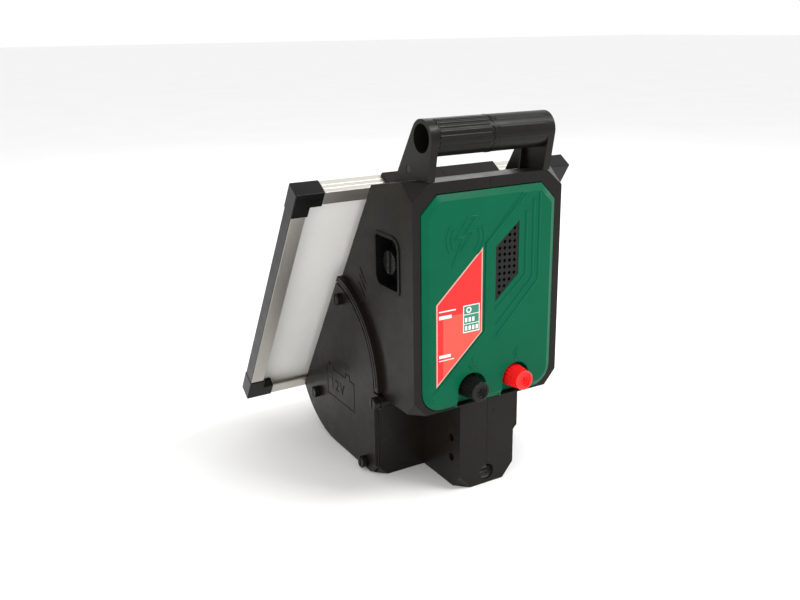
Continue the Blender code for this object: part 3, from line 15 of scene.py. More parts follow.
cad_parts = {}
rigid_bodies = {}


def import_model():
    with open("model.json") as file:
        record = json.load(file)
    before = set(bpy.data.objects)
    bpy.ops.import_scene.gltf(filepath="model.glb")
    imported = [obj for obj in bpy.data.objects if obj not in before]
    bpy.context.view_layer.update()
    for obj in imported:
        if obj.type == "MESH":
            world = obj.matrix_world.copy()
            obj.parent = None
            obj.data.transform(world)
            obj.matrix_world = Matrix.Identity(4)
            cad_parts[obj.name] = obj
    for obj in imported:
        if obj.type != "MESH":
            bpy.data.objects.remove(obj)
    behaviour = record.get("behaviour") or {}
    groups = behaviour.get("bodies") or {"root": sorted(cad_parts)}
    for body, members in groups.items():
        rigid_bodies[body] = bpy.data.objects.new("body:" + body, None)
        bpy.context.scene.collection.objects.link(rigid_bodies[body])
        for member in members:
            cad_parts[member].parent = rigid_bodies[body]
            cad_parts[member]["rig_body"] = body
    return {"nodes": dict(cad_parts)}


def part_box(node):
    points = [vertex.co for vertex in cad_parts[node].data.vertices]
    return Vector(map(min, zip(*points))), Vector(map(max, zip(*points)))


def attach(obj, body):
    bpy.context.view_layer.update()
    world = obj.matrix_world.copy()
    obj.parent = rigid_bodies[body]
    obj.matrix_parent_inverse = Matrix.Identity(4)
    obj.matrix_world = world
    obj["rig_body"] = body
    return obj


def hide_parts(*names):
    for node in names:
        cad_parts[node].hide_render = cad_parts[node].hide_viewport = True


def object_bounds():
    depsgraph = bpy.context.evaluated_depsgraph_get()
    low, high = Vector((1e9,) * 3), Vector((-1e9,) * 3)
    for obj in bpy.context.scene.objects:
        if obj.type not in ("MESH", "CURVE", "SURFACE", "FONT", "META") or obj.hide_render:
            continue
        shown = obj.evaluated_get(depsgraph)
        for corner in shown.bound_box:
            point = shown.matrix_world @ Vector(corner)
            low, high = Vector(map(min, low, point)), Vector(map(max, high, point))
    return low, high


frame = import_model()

MODEL_BOX = [list(corner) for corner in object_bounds()]

MM = 0.001
JOIN_DISTANCE = 2e-6
SAME_POINT = 1e-7
FLAT_ANGLE = math.radians(0.6)
CREASE_ANGLE = math.radians(28)

# Places read off the model.
BOX_COVER_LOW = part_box("battery_cover")[0]
GRIP_LOW, GRIP_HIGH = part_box("handle_left")
GRIP_RADIUS = 18.6 * MM  # typed here: the same as the modelled grip has
GRIP_Y, GRIP_Z = GRIP_LOW.y + GRIP_RADIUS, GRIP_HIGH.z - GRIP_RADIUS
HOUSING_LEFT_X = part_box("housing_left")[0].x

RIB_SUNK = 0.1 * MM
COLLAR_HALF_WIDTH = 1.1 * MM
TOOTH_DEPTH = 0.9 * MM
TEETH = 16


def node_points(name):
    """The places of a node's vertices, as one array of n by 3."""
    vertices = frame["nodes"][name].data.vertices
    places = np.empty(3 * len(vertices), np.float32)
    vertices.foreach_get("co", places)
    return places.reshape(-1, 3).astype(float)


# The rim is all of the left half that reaches furthest left. It starts level with the drum's
# centre, which is as high as the drum's radius because the drum stands on the floor.
RIM_WIDTH = 8.3 * MM
CASE_POINTS = node_points("housing_left")
RIM_POINTS = CASE_POINTS[CASE_POINTS[:, 0] < HOUSING_LEFT_X + JOIN_DISTANCE]
DRUM_RADIUS = RIM_POINTS[:, 2].min()
DRUM_CENTRE_Y = RIM_POINTS[:, 1].min() + DRUM_RADIUS + RIM_WIDTH
LAMINATE_LOW, LAMINATE_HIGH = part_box("panel_laminate")
COVER_FACE_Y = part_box("front_cover")[0].y
FIELD_FACE_Y = COVER_FACE_Y + 0.7 * MM  # the stepped field left of the ridge
LABEL_FACE_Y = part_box("label_plate")[0].y

TERMINAL_KNOBS = ("ground_knob", "fence_knob")
RING_REACH = 9.2 * MM
RING_INSET = 1.25 * MM
PRINT_THICKNESS = 0.05 * MM  # one layer of print on the label

# Directions, with the panel's own: down its slope and out towards the sun.
LEFTWARD = np.array([-1.0, 0.0, 0.0])
FORWARD = np.array([0.0, -1.0, 0.0])
PANEL_TILT = math.radians(33.1)
DOWN = np.array([0.0, math.sin(PANEL_TILT), -math.cos(PANEL_TILT)])
SUNWARD = np.array([0.0, math.cos(PANEL_TILT), math.sin(PANEL_TILT)])


# ---------------------------------------------------------------- finishes


def new_finish(name, colour, roughness, metallic=0.0, shine=0.5):
    """A Principled finish. Gives its material, its node tree and the shader."""
    material = bpy.data.materials.new(name)
    material.use_nodes = True
    shader = material.node_tree.nodes["Principled BSDF"]
    shader.inputs["Base Color"].default_value = (*colour, 1)
    shader.inputs["Roughness"].default_value = roughness
    shader.inputs["Metallic"].default_value = metallic
    shader.inputs["Specular IOR Level"].default_value = shine
    return material, material.node_tree, shader


def object_place(tree, stretch=(1, 1, 1), turn=(0, 0, 0)):
    """The object's own coordinates in metres, turned and then stretched."""
    source = tree.nodes.new("ShaderNodeTexCoord")
    mapping = tree.nodes.new("ShaderNodeMapping")
    mapping.inputs["Rotation"].default_value = turn
    mapping.inputs["Scale"].default_value = stretch
    tree.links.new(source.outputs["Object"], mapping.inputs["Vector"])
    return mapping.outputs["Vector"]


def noise(tree, place, scale, detail=3.0, roughness=0.5):
    """Noise with so many features to the metre."""
    node = tree.nodes.new("ShaderNodeTexNoise")
    node.inputs["Scale"].default_value = scale
    node.inputs["Detail"].default_value = detail
    node.inputs["Roughness"].default_value = roughness
    tree.links.new(place, node.inputs["Vector"])
    return node.outputs["Fac"]


def ranged(tree, value, low, high, source=(0.3, 0.7)):
    """A value between low and high, as another runs over its source range."""
    node = tree.nodes.new("ShaderNodeMapRange")
    node.inputs["From Min"].default_value = source[0]
    node.inputs["From Max"].default_value = source[1]
    node.inputs["To Min"].default_value = low
    node.inputs["To Max"].default_value = high
    tree.links.new(value, node.inputs["Value"])
    return node.outputs["Result"]


def blended(tree, share, first, second):
    """A colour between two, by a share."""
    node = tree.nodes.new("ShaderNodeMix")
    node.data_type = "RGBA"
    node.inputs["A"].default_value = (*first, 1)
    node.inputs["B"].default_value = (*second, 1)
    tree.links.new(share, node.inputs["Factor"])
    return node.outputs["Result"]


def raised(tree, shader, height, depth, strength=1.0):
    """Lifts the surface by a height pattern, depth metres from lowest to highest."""
    node = tree.nodes.new("ShaderNodeBump")
    node.inputs["Distance"].default_value = depth
    node.inputs["Strength"].default_value = strength
    tree.links.new(height, node.inputs["Height"])
    tree.links.new(node.outputs["Normal"], shader.inputs["Normal"])


def moulded(name, colour, roughness, grain=900.0, depth=0.03 * MM, drift=0.12, rub=0.07, shine=0.3):
    """Moulded plastic: a fine even grain, a slow drift in tone, and gloss that is rubbed in places."""
    material, tree, shader = new_finish(name, colour, roughness, 0.0, shine)
    place = object_place(tree)
    share = ranged(tree, noise(tree, place, 26.0), 0.0, 1.0)
    darker = [part * (1 - drift) for part in colour]
    lighter = [part * (1 + drift) for part in colour]
    tree.links.new(blended(tree, share, darker, lighter), shader.inputs["Base Color"])
    gloss = ranged(tree, noise(tree, place, 60.0, 6.0, 0.6), roughness - rub, roughness + rub)
    tree.links.new(gloss, shader.inputs["Roughness"])
    raised(tree, shader, noise(tree, place, grain, 2.0), depth)
    return material


def drawn_metal(name, colour, roughness, stretch, turn=(0, 0, 0)):
    """Metal with fine lines along one direction, left by drawing or rolling."""
    material, tree, shader = new_finish(name, colour, roughness, 1.0)
    place = object_place(tree, stretch, turn)
    lines = noise(tree, place, 1.0, 4.0, 0.6)
    tree.links.new(ranged(tree, lines, roughness - 0.08, roughness + 0.10), shader.inputs["Roughness"])
    paler = [min(1.0, part * 1.12) for part in colour]
    darker = [part * 0.88 for part in colour]
    tree.links.new(blended(tree, ranged(tree, lines, 0.0, 1.0), darker, paler), shader.inputs["Base Color"])
    raised(tree, shader, lines, 0.01 * MM)
    return material


def plated(name, colour, roughness):
    """Zinc plated steel: a faint patchy bloom over a satin metal."""
    material, tree, shader = new_finish(name, colour, roughness, 1.0)
    place = object_place(tree)
    bloom = noise(tree, place, 320.0, 5.0, 0.65)
    tree.links.new(ranged(tree, bloom, roughness - 0.06, roughness + 0.14), shader.inputs["Roughness"])
    duller = [part * 0.78 for part in colour]
    tone = blended(tree, ranged(tree, bloom, 0.0, 1.0), duller, colour)
    tree.links.new(tone, shader.inputs["Base Color"])
    return material


def cell_blue():
    """Silicon cells seen through glass: deep blue crystals, each a little different, crossed by fine
    silver fingers, under a clear coat."""
    material, tree, shader = new_finish("cell blue", (0.010, 0.018, 0.060), 0.35, shine=0.2)
    shader.inputs["Coat Weight"].default_value = 0.35
    shader.inputs["Coat Roughness"].default_value = 0.06
    crystals = tree.nodes.new("ShaderNodeTexVoronoi")
    crystals.inputs["Scale"].default_value = 170.0
    tree.links.new(object_place(tree), crystals.inputs["Vector"])
    share = tree.nodes.new("ShaderNodeSeparateColor")
    tree.links.new(crystals.outputs["Color"], share.inputs["Color"])
    colour = blended(tree, share.outputs["Red"], (0.003, 0.006, 0.030), (0.008, 0.017, 0.065))
    fingers = tree.nodes.new("ShaderNodeTexWave")
    fingers.bands_direction = "Z"
    fingers.inputs["Scale"].default_value = 1.0
    across = object_place(tree, (1, 1, 130), (-PANEL_TILT, 0, 0))
    tree.links.new(across, fingers.inputs["Vector"])
    line = ranged(tree, fingers.outputs["Fac"], 0.0, 0.35, (0.90, 1.0))
    mix = tree.nodes.new("ShaderNodeMix")
    mix.data_type = "RGBA"
    tree.links.new(line, mix.inputs["Factor"])
    tree.links.new(colour, mix.inputs["A"])
    mix.inputs["B"].default_value = (0.20, 0.22, 0.26, 1)
    tree.links.new(mix.outputs["Result"], shader.inputs["Base Color"])
    return material


def laminate_back():
    """White laminated sheet: nearly even, with a slow drift in tone and a faint ripple."""
    material, tree, shader = new_finish("laminate white", (0.88, 0.88, 0.85), 0.42)
    place = object_place(tree)
    share = ranged(tree, noise(tree, place, 9.0, 2.0), 0.0, 1.0)
    tone = blended(tree, share, (0.84, 0.84, 0.81), (0.91, 0.91, 0.89))
    tree.links.new(tone, shader.inputs["Base Color"])
    raised(tree, shader, noise(tree, place, 120.0, 3.0), 0.04 * MM)
    return material


def pressed_foam(name, colour):
    """Foam or wound wire: a coarse open grain."""
    material, tree, shader = new_finish(name, colour, 0.9)
    raised(tree, shader, noise(tree, object_place(tree), 1400.0, 2.0), 0.25 * MM)
    darker = [part * 0.6 for part in colour]
    share = ranged(tree, noise(tree, object_place(tree), 700.0, 3.0), 0.0, 1.0)
    tree.links.new(blended(tree, share, darker, colour), shader.inputs["Base Color"])
    return material


CASE_BLACK = moulded("case black", (0.0085, 0.0072, 0.0055), 0.33, shine=0.14)
GRIP_BLACK = moulded("grip black", (0.0060, 0.0055, 0.0048), 0.34, 700.0, 0.05 * MM, shine=0.16)
FITTING_BLACK = moulded("fitting black", (0.0050, 0.0050, 0.0050), 0.30, shine=0.16)
RECESS_BLACK = moulded("recess black", (0.0035, 0.0035, 0.0035), 0.40, shine=0.14)
COVER_GREEN = moulded("cover green", (0.0, 0.092, 0.043), 0.33, 800.0, 0.02 * MM, 0.05, 0.05, 0.08)
LABEL_RED = moulded("label red", (0.86, 0.022, 0.022), 0.30, 300.0, 0.004 * MM, 0.04, 0.03, 0.2)
# Paler red used for the painted reflection over the label's lower part.
LABEL_PAINTED_REFLECTION = moulded("label painted reflection", (0.90, 0.075, 0.050), 0.30, 300.0, 0.004 * MM, 0.04, 0.03)
LABEL_EDGE = moulded("label edge", (0.50, 0.34, 0.29), 0.28, 300.0, 0.004 * MM, 0.05, 0.04)
LABEL_WHITE = moulded("label white", (0.78, 0.74, 0.72), 0.35, 300.0, 0.004 * MM, 0.04, 0.03)
INFO_GREEN = moulded("info green", (0.03, 0.20, 0.13), 0.35, 300.0, 0.004 * MM, 0.06, 0.03)
GRILLE_BLACK = moulded("grille black", (0.0045, 0.0045, 0.0045), 0.30, shine=0.2)
KNOB_RED = moulded("knob red", (0.80, 0.010, 0.012), 0.30, 900.0, 0.015 * MM, 0.06, 0.05)
KNOB_BLACK = moulded("knob black", (0.0060, 0.0060, 0.0060), 0.28, 900.0, 0.02 * MM, shine=0.2)
KNOB_PALE_RED = moulded("knob pale red", (0.95, 0.05, 0.035), 0.24, 900.0, 0.01 * MM, 0.05, 0.04)
RUBBER_BLACK = moulded("rubber black", (0.010, 0.010, 0.010), 0.75, 1200.0, 0.05 * MM, 0.2, 0.1)
LEAD_RED = moulded("lead red", (0.50, 0.012, 0.010), 0.42, 900.0, 0.02 * MM, 0.1, 0.05)
BATTERY_GREY = moulded("battery grey", (0.055, 0.060, 0.068), 0.45, 900.0, 0.05 * MM, 0.1, 0.08)
CAN_GREY = moulded("can grey", (0.16, 0.18, 0.20), 0.40, 900.0, 0.03 * MM, 0.1, 0.06)
BOARD_GREEN = moulded("board green", (0.010, 0.16, 0.05), 0.35, 500.0, 0.03 * MM, 0.25, 0.1)
LAMP_GREEN = moulded("lamp green", (0.06, 0.70, 0.12), 0.12, 300.0, 0.004 * MM, 0.05, 0.03)
CORE_IRON = drawn_metal("core iron", (0.20, 0.18, 0.16), 0.5, (40, 3000, 40))
RAIL_ACROSS = drawn_metal("rail across", (0.62, 0.60, 0.55), 0.36, (8, 2500, 2500))
RAIL_DOWN = drawn_metal("rail down", (0.62, 0.60, 0.55), 0.36, (2500, 2500, 8), (-PANEL_TILT, 0, 0))
ZINC = plated("zinc plate", (0.66, 0.65, 0.61), 0.28)
BLACK_STEEL = plated("blackened steel", (0.060, 0.058, 0.055), 0.34)
SILVER_LINE = plated("silver line", (0.70, 0.70, 0.70), 0.30)
CELL_BLUE = cell_blue()
LAMINATE_WHITE = laminate_back()
GLASS_WHITE = moulded("white under glass", (0.55, 0.57, 0.60), 0.10, 20.0, 0.01 * MM, 0.04, 0.03, 0.5)
FOAM_GREY = pressed_foam("foam", (0.06, 0.06, 0.06))
WINDING = pressed_foam("winding", (0.50, 0.20, 0.06))


# ---------------------------------------------------------------- making pieces


def add_piece(name, mesh, finish, body):
    """Puts a finished mesh in the scene, on the body that it moves with."""
    mesh.materials.clear()
    mesh.materials.append(finish)
    piece = bpy.data.objects.new(name, mesh)
    bpy.context.scene.collection.objects.link(piece)
    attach(piece, body)
    return piece


def grid_mesh(name, points, closed_u=False, closed_v=False):
    """Quads over a grid of points, u by v by 3. A closed direction joins its last row to its first.
    Points that fall together, as at a pole, become one."""
    count_u, count_v = points.shape[:2]
    u = np.arange(count_u if closed_u else count_u - 1)
    v = np.arange(count_v if closed_v else count_v - 1)
    u, v = np.meshgrid(u, v, indexing="ij")
    next_u, next_v = (u + 1) % count_u, (v + 1) % count_v
    corners = [u * count_v + v, next_u * count_v + v, next_u * count_v + next_v, u * count_v + next_v]
    faces = np.stack([corner.ravel() for corner in corners], axis=1)
    mesh = bpy.data.meshes.new(name)
    mesh.from_pydata(points.reshape(-1, 3).tolist(), [], faces.tolist())
    tidy_mesh(mesh)
    return mesh


def tidy_mesh(mesh):
    """Joins points that fall together, closes an open foot, turns every face outwards and shades
    round faces smooth."""
    shape = bmesh.new()
    shape.from_mesh(mesh)
    bmesh.ops.remove_doubles(shape, verts=shape.verts, dist=SAME_POINT)
    bmesh.ops.holes_fill(shape, edges=shape.edges)
    bmesh.ops.recalc_face_normals(shape, faces=shape.faces)
    shape.to_mesh(mesh)
    shape.free()
    mesh.shade_smooth()
    mesh.set_sharp_from_angle(angle=CREASE_ANGLE)


def swept_points(path, out, section, closed=False):
    """A section carried along a flat path. Each point is path + s * across + h * out, where across
    is square to both the path and out, and is lengthened at a bend so that the corner is mitred.
    An open path ends in a point at each end, so that the skin is closed."""
    path, out = np.asarray(path, float), np.asarray(out, float)
    ahead = np.roll(path, -1, axis=0) - path
    if not closed:
        ahead[-1] = ahead[-2]
    ahead /= np.linalg.norm(ahead, axis=1)[:, None]
    before = np.roll(ahead, 1, axis=0)
    if not closed:
        before[0] = ahead[0]
    first, second = np.cross(out, before), np.cross(out, ahead)
    across = (first + second) / (1 + np.sum(first * second, axis=1))[:, None]
    sides, heights = np.asarray(section, float).T
    points = path[:, None] + sides[None, :, None] * across[:, None] + heights[None, :, None] * out
    if closed:
        return points
    middle = points.mean(axis=1, keepdims=True).repeat(points.shape[1], axis=1)
    return np.concatenate([middle[:1], points, middle[-1:]])


def round_section(width, height, sunk=0.3 * MM, count=9):
    """Half an ellipse standing on a surface, (width / 2 * cos a, height * sin a) for a from 0 to a
    half turn, with its foot sunk into the surface."""
    angle = np.linspace(0, math.pi, count)
    bow = np.stack([np.cos(angle) * width / 2, np.sin(angle) * height], axis=1)
    foot = np.array([[-width / 2, -sunk], [width / 2, -sunk]])
    return np.concatenate([bow, foot])


def rib(name, path, out, width, height, finish, body, closed=False, sunk=0.3 * MM):
    """A rounded rib along a path on a surface."""
    points = swept_points(path, out, round_section(width, height, sunk), closed)
    return add_piece(name, grid_mesh(name, points, closed, True), finish, body)


def ribs(name, paths, out, width, height, finish, body, closed=False):
    """Several rounded ribs as one piece."""
    meshes = []
    for path in paths:
        points = swept_points(path, out, round_section(width, height), closed)
        meshes.append(grid_mesh(name, points, closed, True))
    return add_piece(name, joined(name, meshes), finish, body)


def joined(name, meshes):
    """One mesh out of several, which are used up."""
    shape = bmesh.new()
    for mesh in meshes:
        shape.from_mesh(mesh)
        bpy.data.meshes.remove(mesh)
    whole = bpy.data.meshes.new(name)
    shape.to_mesh(whole)
    shape.free()
    whole.shade_smooth()
    whole.set_sharp_from_angle(angle=CREASE_ANGLE)
    return whole


def turned_points(centre, axis, profile, count=48):
    """A profile of (radius, height) points turned about an axis: centre + height * axis
    + radius * (cos a * side + sin a * up)."""
    axis = np.asarray(axis, float)
    side = np.cross(axis, (0.0, 0.0, 1.0) if abs(axis[2]) < 0.9 else (1.0, 0.0, 0.0))
    side /= np.linalg.norm(side)
    up = np.cross(axis, side)
    angle = np.linspace(0, 2 * math.pi, count, endpoint=False)
    ring = np.cos(angle)[:, None] * side + np.sin(angle)[:, None] * up
    radii, heights = np.asarray(profile, float).T
    spokes = radii[None, :, None] * ring[:, None]
    return np.asarray(centre, float) + spokes + heights[None, :, None] * axis


def turned_piece(name, centre, axis, profile, finish, body, closed=False, count=48):
    """A turned piece. A closed profile is a ring's section."""
    mesh = grid_mesh(name, turned_points(centre, axis, profile, count), True, closed)
    return add_piece(name, mesh, finish, body)


def print_points(corners, out, thickness, steps=2):
    """A thin four-cornered print: the corners blended as (1-u)(1-v)A + u(1-v)B + uvC + (1-u)vD on
    its face, with a skirt that drops by its thickness all round."""
    a, b, c, d = (np.asarray(corner, float) for corner in corners)
    share = np.concatenate([[0], np.linspace(0, 1, steps), [1]])
    u, v = np.meshgrid(share, share, indexing="ij")
    u, v = u[..., None], v[..., None]
    points = (1 - u) * (1 - v) * a + u * (1 - v) * b + u * v * c + (1 - u) * v * d
    lift = np.full(points.shape[:2], 1.0)
    lift[0] = lift[-1] = lift[:, 0] = lift[:, -1] = 0.0
    return points + lift[..., None] * np.asarray(out, float) * thickness


def prints(name, shapes, out, thickness, finish, body):
    """Several thin four-cornered prints as one piece."""
    meshes = [grid_mesh(name, print_points(corners, out, thickness)) for corners in shapes]
    return add_piece(name, joined(name, meshes), finish, body)


# ---------------------------------------------------------------- pieces that follow a node


def merged_copy(node):
    """A copy of a node's mesh, with its loose triangles joined and each flat face made whole."""
    shape = bmesh.new()
    shape.from_mesh(frame["nodes"][node].data)
    bmesh.ops.remove_doubles(shape, verts=shape.verts, dist=JOIN_DISTANCE)
    bmesh.ops.dissolve_limit(shape, angle_limit=FLAT_ANGLE, verts=shape.verts, edges=shape.edges)
    mesh = bpy.data.meshes.new(node + "_skin")
    shape.to_mesh(mesh)
    shape.free()
    mesh.shade_smooth()
    return mesh


def eased(node, width, finish, segments=2):
    """Stands for a node, with its edges rounded as a mould or a tumbler leaves them."""
    piece = add_piece(node + "_skin", merged_copy(node), finish, frame["nodes"][node]["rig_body"])
    bevel = piece.modifiers.new("rounded edges", "BEVEL")
    bevel.width = width
    bevel.segments = segments
    bevel.limit_method = "ANGLE"
    bevel.angle_limit = CREASE_ANGLE
    bevel.use_clamp_overlap = True
    weighted = piece.modifiers.new("even shading", "WEIGHTED_NORMAL")
    weighted.keep_sharp = True
    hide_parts(node)
    return piece


def dress(finish, *nodes):
    """Gives the named nodes a finish as they are."""
    for node in nodes:
        mesh = frame["nodes"][node].data
        mesh.materials.clear()
        mesh.materials.append(finish)


def ease_the_case():
    """Case halves, handle, battery cover and the small fittings, all with rounded edges."""
    for side in ("left", "right"):
        eased(f"housing_{side}", 0.8 * MM, CASE_BLACK)
        eased(f"handle_{side}", 1.2 * MM, GRIP_BLACK, 3)
    eased("switch_recess_cup", 0.5 * MM, RECESS_BLACK)
    eased("front_cover", 0.9 * MM, COVER_GREEN, 3)
    eased("grille", 0.3 * MM, GRILLE_BLACK)
    for end in ("top", "bottom"):
        for side in ("left", "right"):
            eased(f"corner_cap_{end}_{side}", 1.0 * MM, FITTING_BLACK, 3)
        eased(f"panel_rail_{end}", 0.3 * MM, RAIL_ACROSS)
    for side in ("left", "right"):
        eased(f"panel_rail_{side}", 0.3 * MM, RAIL_DOWN)
    eased("junction_box", 1.5 * MM, FITTING_BLACK, 3)
    for index in range(1, 5):
        eased(f"cover_screw_{index}", 0.4 * MM, KNOB_BLACK)
    eased("ground_knob", 0.35 * MM, KNOB_BLACK)
    eased("fence_knob", 0.35 * MM, KNOB_RED)
    eased("switch_knob", 0.4 * MM, KNOB_BLACK)
    eased("stake_tube", 0.6 * MM, ZINC)
    eased("battery", 2.0 * MM, BATTERY_GREY, 3)
    eased("battery_cover", 0.9 * MM, CASE_BLACK, 3)


def dress_the_rest():
    """Finishes of the nodes that keep their own meshes."""
    dress(ZINC, "ground_stud", "fence_stud", "ground_nut", "fence_nut", "clamp_nut")
    dress(ZINC, *(f"housing_screw_{index}" for index in range(1, 6)))
    dress(ZINC, "panel_screw_left", "panel_screw_right")
    dress(BLACK_STEEL, "handle_left_screw", "handle_right_screw", "clamp_screw")
    dress(ZINC, "battery_tab_plus", "battery_tab_minus")
    dress(RUBBER_BLACK, "cover_seal", "battery_cover_seal", "battery_grommet", "panel_grommet")
    dress(RUBBER_BLACK, "battery_lead_minus", "panel_lead")
    dress(LEAD_RED, "battery_lead_plus")
    dress(LABEL_RED, "label_plate")
    dress(LAMINATE_WHITE, "panel_backsheet")
    dress(GLASS_WHITE, "panel_laminate")
    dress(FOAM_GREY, "battery_pad")
    dress(BOARD_GREEN, "circuit_board")
    dress(CORE_IRON, "transformer_core")
    dress(WINDING, "transformer_coil")
    dress(CAN_GREY, "pulse_capacitor", "switch_body")
    dress(LAMP_GREEN, "indicator_light")


# ---------------------------------------------------------------- front cover


def on_face(points, face_y):
    """Front-view points (x, z) in millimetres as places on a plane that faces the front."""
    points = np.asarray(points, float) * MM
    return np.stack([points[:, 0], np.full(len(points), face_y), points[:, 1]], axis=1)


def build_cover_lines():
    """Three bent ribs to the right of the grille, and the bead along the stepped field's edge."""
    bends = [
        [(42.3, 303.0), (42.3, 234.7), (4.6, 202.9)],
        [(51.5, 314.0), (51.5, 230.3), (5.9, 185.6)],
        [(59.3, 319.7), (59.3, 226.9), (6.1, 173.1)],
    ]
    paths = [on_face(bend, COVER_FACE_Y) for bend in bends]
    ribs("cover_ribs", paths, FORWARD, 3.2 * MM, 0.9 * MM, COVER_GREEN, "energizer")
    ridge = [(42.0, 320.5), (-7.4, 274.6), (-8.5, 181.2), (-66.0, 128.0)]
    path = on_face(ridge, COVER_FACE_Y)
    rib("field_bead", path, FORWARD, 2.2 * MM, 0.7 * MM, COVER_GREEN, "energizer")


def build_emblem():
    """An embossed flash between two pairs of arcs, on the stepped field. An arc's points are
    centre + radius * (cos a, sin a)."""
    flash = [(-30, 304), (-44, 284), (-36, 284), (-46, 262), (-24, 289), (-33, 289), (-20, 304)]
    path = on_face(flash + flash[:1], FIELD_FACE_Y)[:-1]
    width, height = 2.4 * MM, 0.7 * MM
    rib("emblem_flash", path, FORWARD, width, height, COVER_GREEN, "energizer", closed=True)
    arcs = []
    centre_x, centre_z = -33, 283
    for start, end in ((-0.9, 0.5), (2.5, 3.7)):
        for radius in (17.0, 22.5):
            angle = np.linspace(start, end, 14)
            x, z = centre_x + radius * np.cos(angle), centre_z + radius * np.sin(angle)
            arcs.append(on_face(np.stack([x, z], axis=1), FIELD_FACE_Y))
    ribs("emblem_arcs", arcs, FORWARD, width, height, COVER_GREEN, "energizer")


def build_terminal_marks():
    """The earth sign over the ground terminal and a small flash over the fence terminal."""
    ground_x, fence_x = (sum(corner.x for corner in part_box(knob)) / 2 / MM for knob in TERMINAL_KNOBS)
    mark_z = 147.0
    earth = [[(ground_x, mark_z + 8), (ground_x, mark_z)]]
    for row, half in enumerate((5.5, 3.6, 1.8)):
        height = mark_z - 2.2 * row
        earth.append([(ground_x - half, height), (ground_x + half, height)])
    paths = [on_face(line, COVER_FACE_Y) for line in earth]
    flash = [(fence_x + 2, mark_z + 8), (fence_x - 2.6, mark_z + 1.6), (fence_x + 1.6, mark_z + 1.2)]
    flash += [(fence_x - 2.2, mark_z - 6)]
    paths.append(on_face(flash, COVER_FACE_Y))
    ribs("terminal_marks", paths, FORWARD, 1.5 * MM, 0.7 * MM, COVER_GREEN, "energizer")


def build_label():
    """What is on the red plate: its printed border, a paler band of painted reflection over its lower part,
    and the box of plain signs.
    """
    corners = np.array([(-12.1, 270.9), (-68.3, 218.7), (-68.3, 129.7), (-12.1, 181.2)])
    outline = on_face(corners + [(-0.8, -1.2), (0.8, -0.2), (0.8, 1.8), (-0.8, 0.4)], LABEL_FACE_Y)
    points = swept_points(outline, FORWARD, round_section(1.5 * MM, 0.16 * MM, 0.1 * MM), True)
    border = grid_mesh("label_border", points, True, True)
    add_piece("label_border", border, LABEL_EDGE, "energizer")
    # Painted reflection: a paler red patch over the label's lower part, standing in for light reflected
    # there.
    reflection_patch = [(-60.0, 205.0), (-60.0, 140.0), (-14.0, 182.6), (-14.0, 205.0)]
    place = [on_face(reflection_patch, LABEL_FACE_Y)]
    prints("label_painted_reflection", place, FORWARD, PRINT_THICKNESS, LABEL_PAINTED_REFLECTION, "energizer")
    box = [(-35.9, 183.5), (-15.6, 183.5), (-15.6, 213.0), (-35.9, 213.0)]
    place = [on_face(box, LABEL_FACE_Y)]
    prints("label_box", place, FORWARD, 2 * PRINT_THICKNESS, LABEL_WHITE, "energizer")
    fields = []
    for low, high in ((184.6, 192.4), (193.2, 202.6), (203.4, 212.0)):
        field = [(-34.9, low), (-16.6, low), (-16.6, high), (-34.9, high)]
        fields.append(on_face(field, LABEL_FACE_Y))
    prints("label_fields", fields, FORWARD, 3 * PRINT_THICKNESS, INFO_GREEN, "energizer")
    signs = []
    for row, base in enumerate((186.0, 195.0)):
        for column in range(4 - row):
            left = -33.6 + column * 4.4
            sign = [(left, base), (left + 2.8, base), (left + 2.8, base + 4.6), (left, base + 4.6)]
            signs.append(on_face(sign, LABEL_FACE_Y))
    lines = ((210.4, 20.0, 1.3), (203.0, 15.0, 3.6), (161.4, 14.0, 3.2), (158.2, 18.0, 0.9))
    for low, length, height in lines:
        left, right = -65.0, -65.0 + length
        line = [(left, low), (right, low), (right, low + height), (left, low + height)]
        signs.append(on_face(line, LABEL_FACE_Y))
    lift = 4 * PRINT_THICKNESS
    prints("label_signs", signs, FORWARD, lift, LABEL_WHITE, "energizer")
    ring = [(1.9, 0), (1.9, lift / MM), (3.2, lift / MM), (3.2, 0)]
    ring = np.array(ring) * MM
    centre = (-29.0 * MM, LABEL_FACE_Y, 207.7 * MM)
    turned_piece("label_ring", centre, FORWARD, ring, LABEL_WHITE, "energizer", True)


def build_knob_rings():
    """The smooth ring round the front of each terminal knob. Its section is an ellipse, RING_REACH
    + a cos t from the axis and b sin t - RING_INSET in front of the knob, turned about its axis."""
    for name, finish, slot in (
        ("ground_knob", KNOB_BLACK, "knob_black"),
        ("fence_knob", KNOB_PALE_RED, "knob_red"),
    ):
        low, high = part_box(name)
        centre = ((low.x + high.x) / 2, low.y, (low.z + high.z) / 2)
        angle = np.linspace(0, 2 * math.pi, 14, endpoint=False)
        section = np.stack([RING_REACH + 1.6 * MM * np.cos(angle), 1.2 * MM * np.sin(angle)], axis=1)
        section[:, 1] -= RING_INSET
        turned_piece(name + "_ring", centre, FORWARD, section, finish, name, True)


# ---------------------------------------------------------------- battery cover


def side_path(points, face_x):
    """Side-view points (y, z) in millimetres as places on a plane that faces the left."""
    points = np.asarray(points, float) * MM
    return np.stack([np.full(len(points), face_x), points[:, 0], points[:, 1]], axis=1)


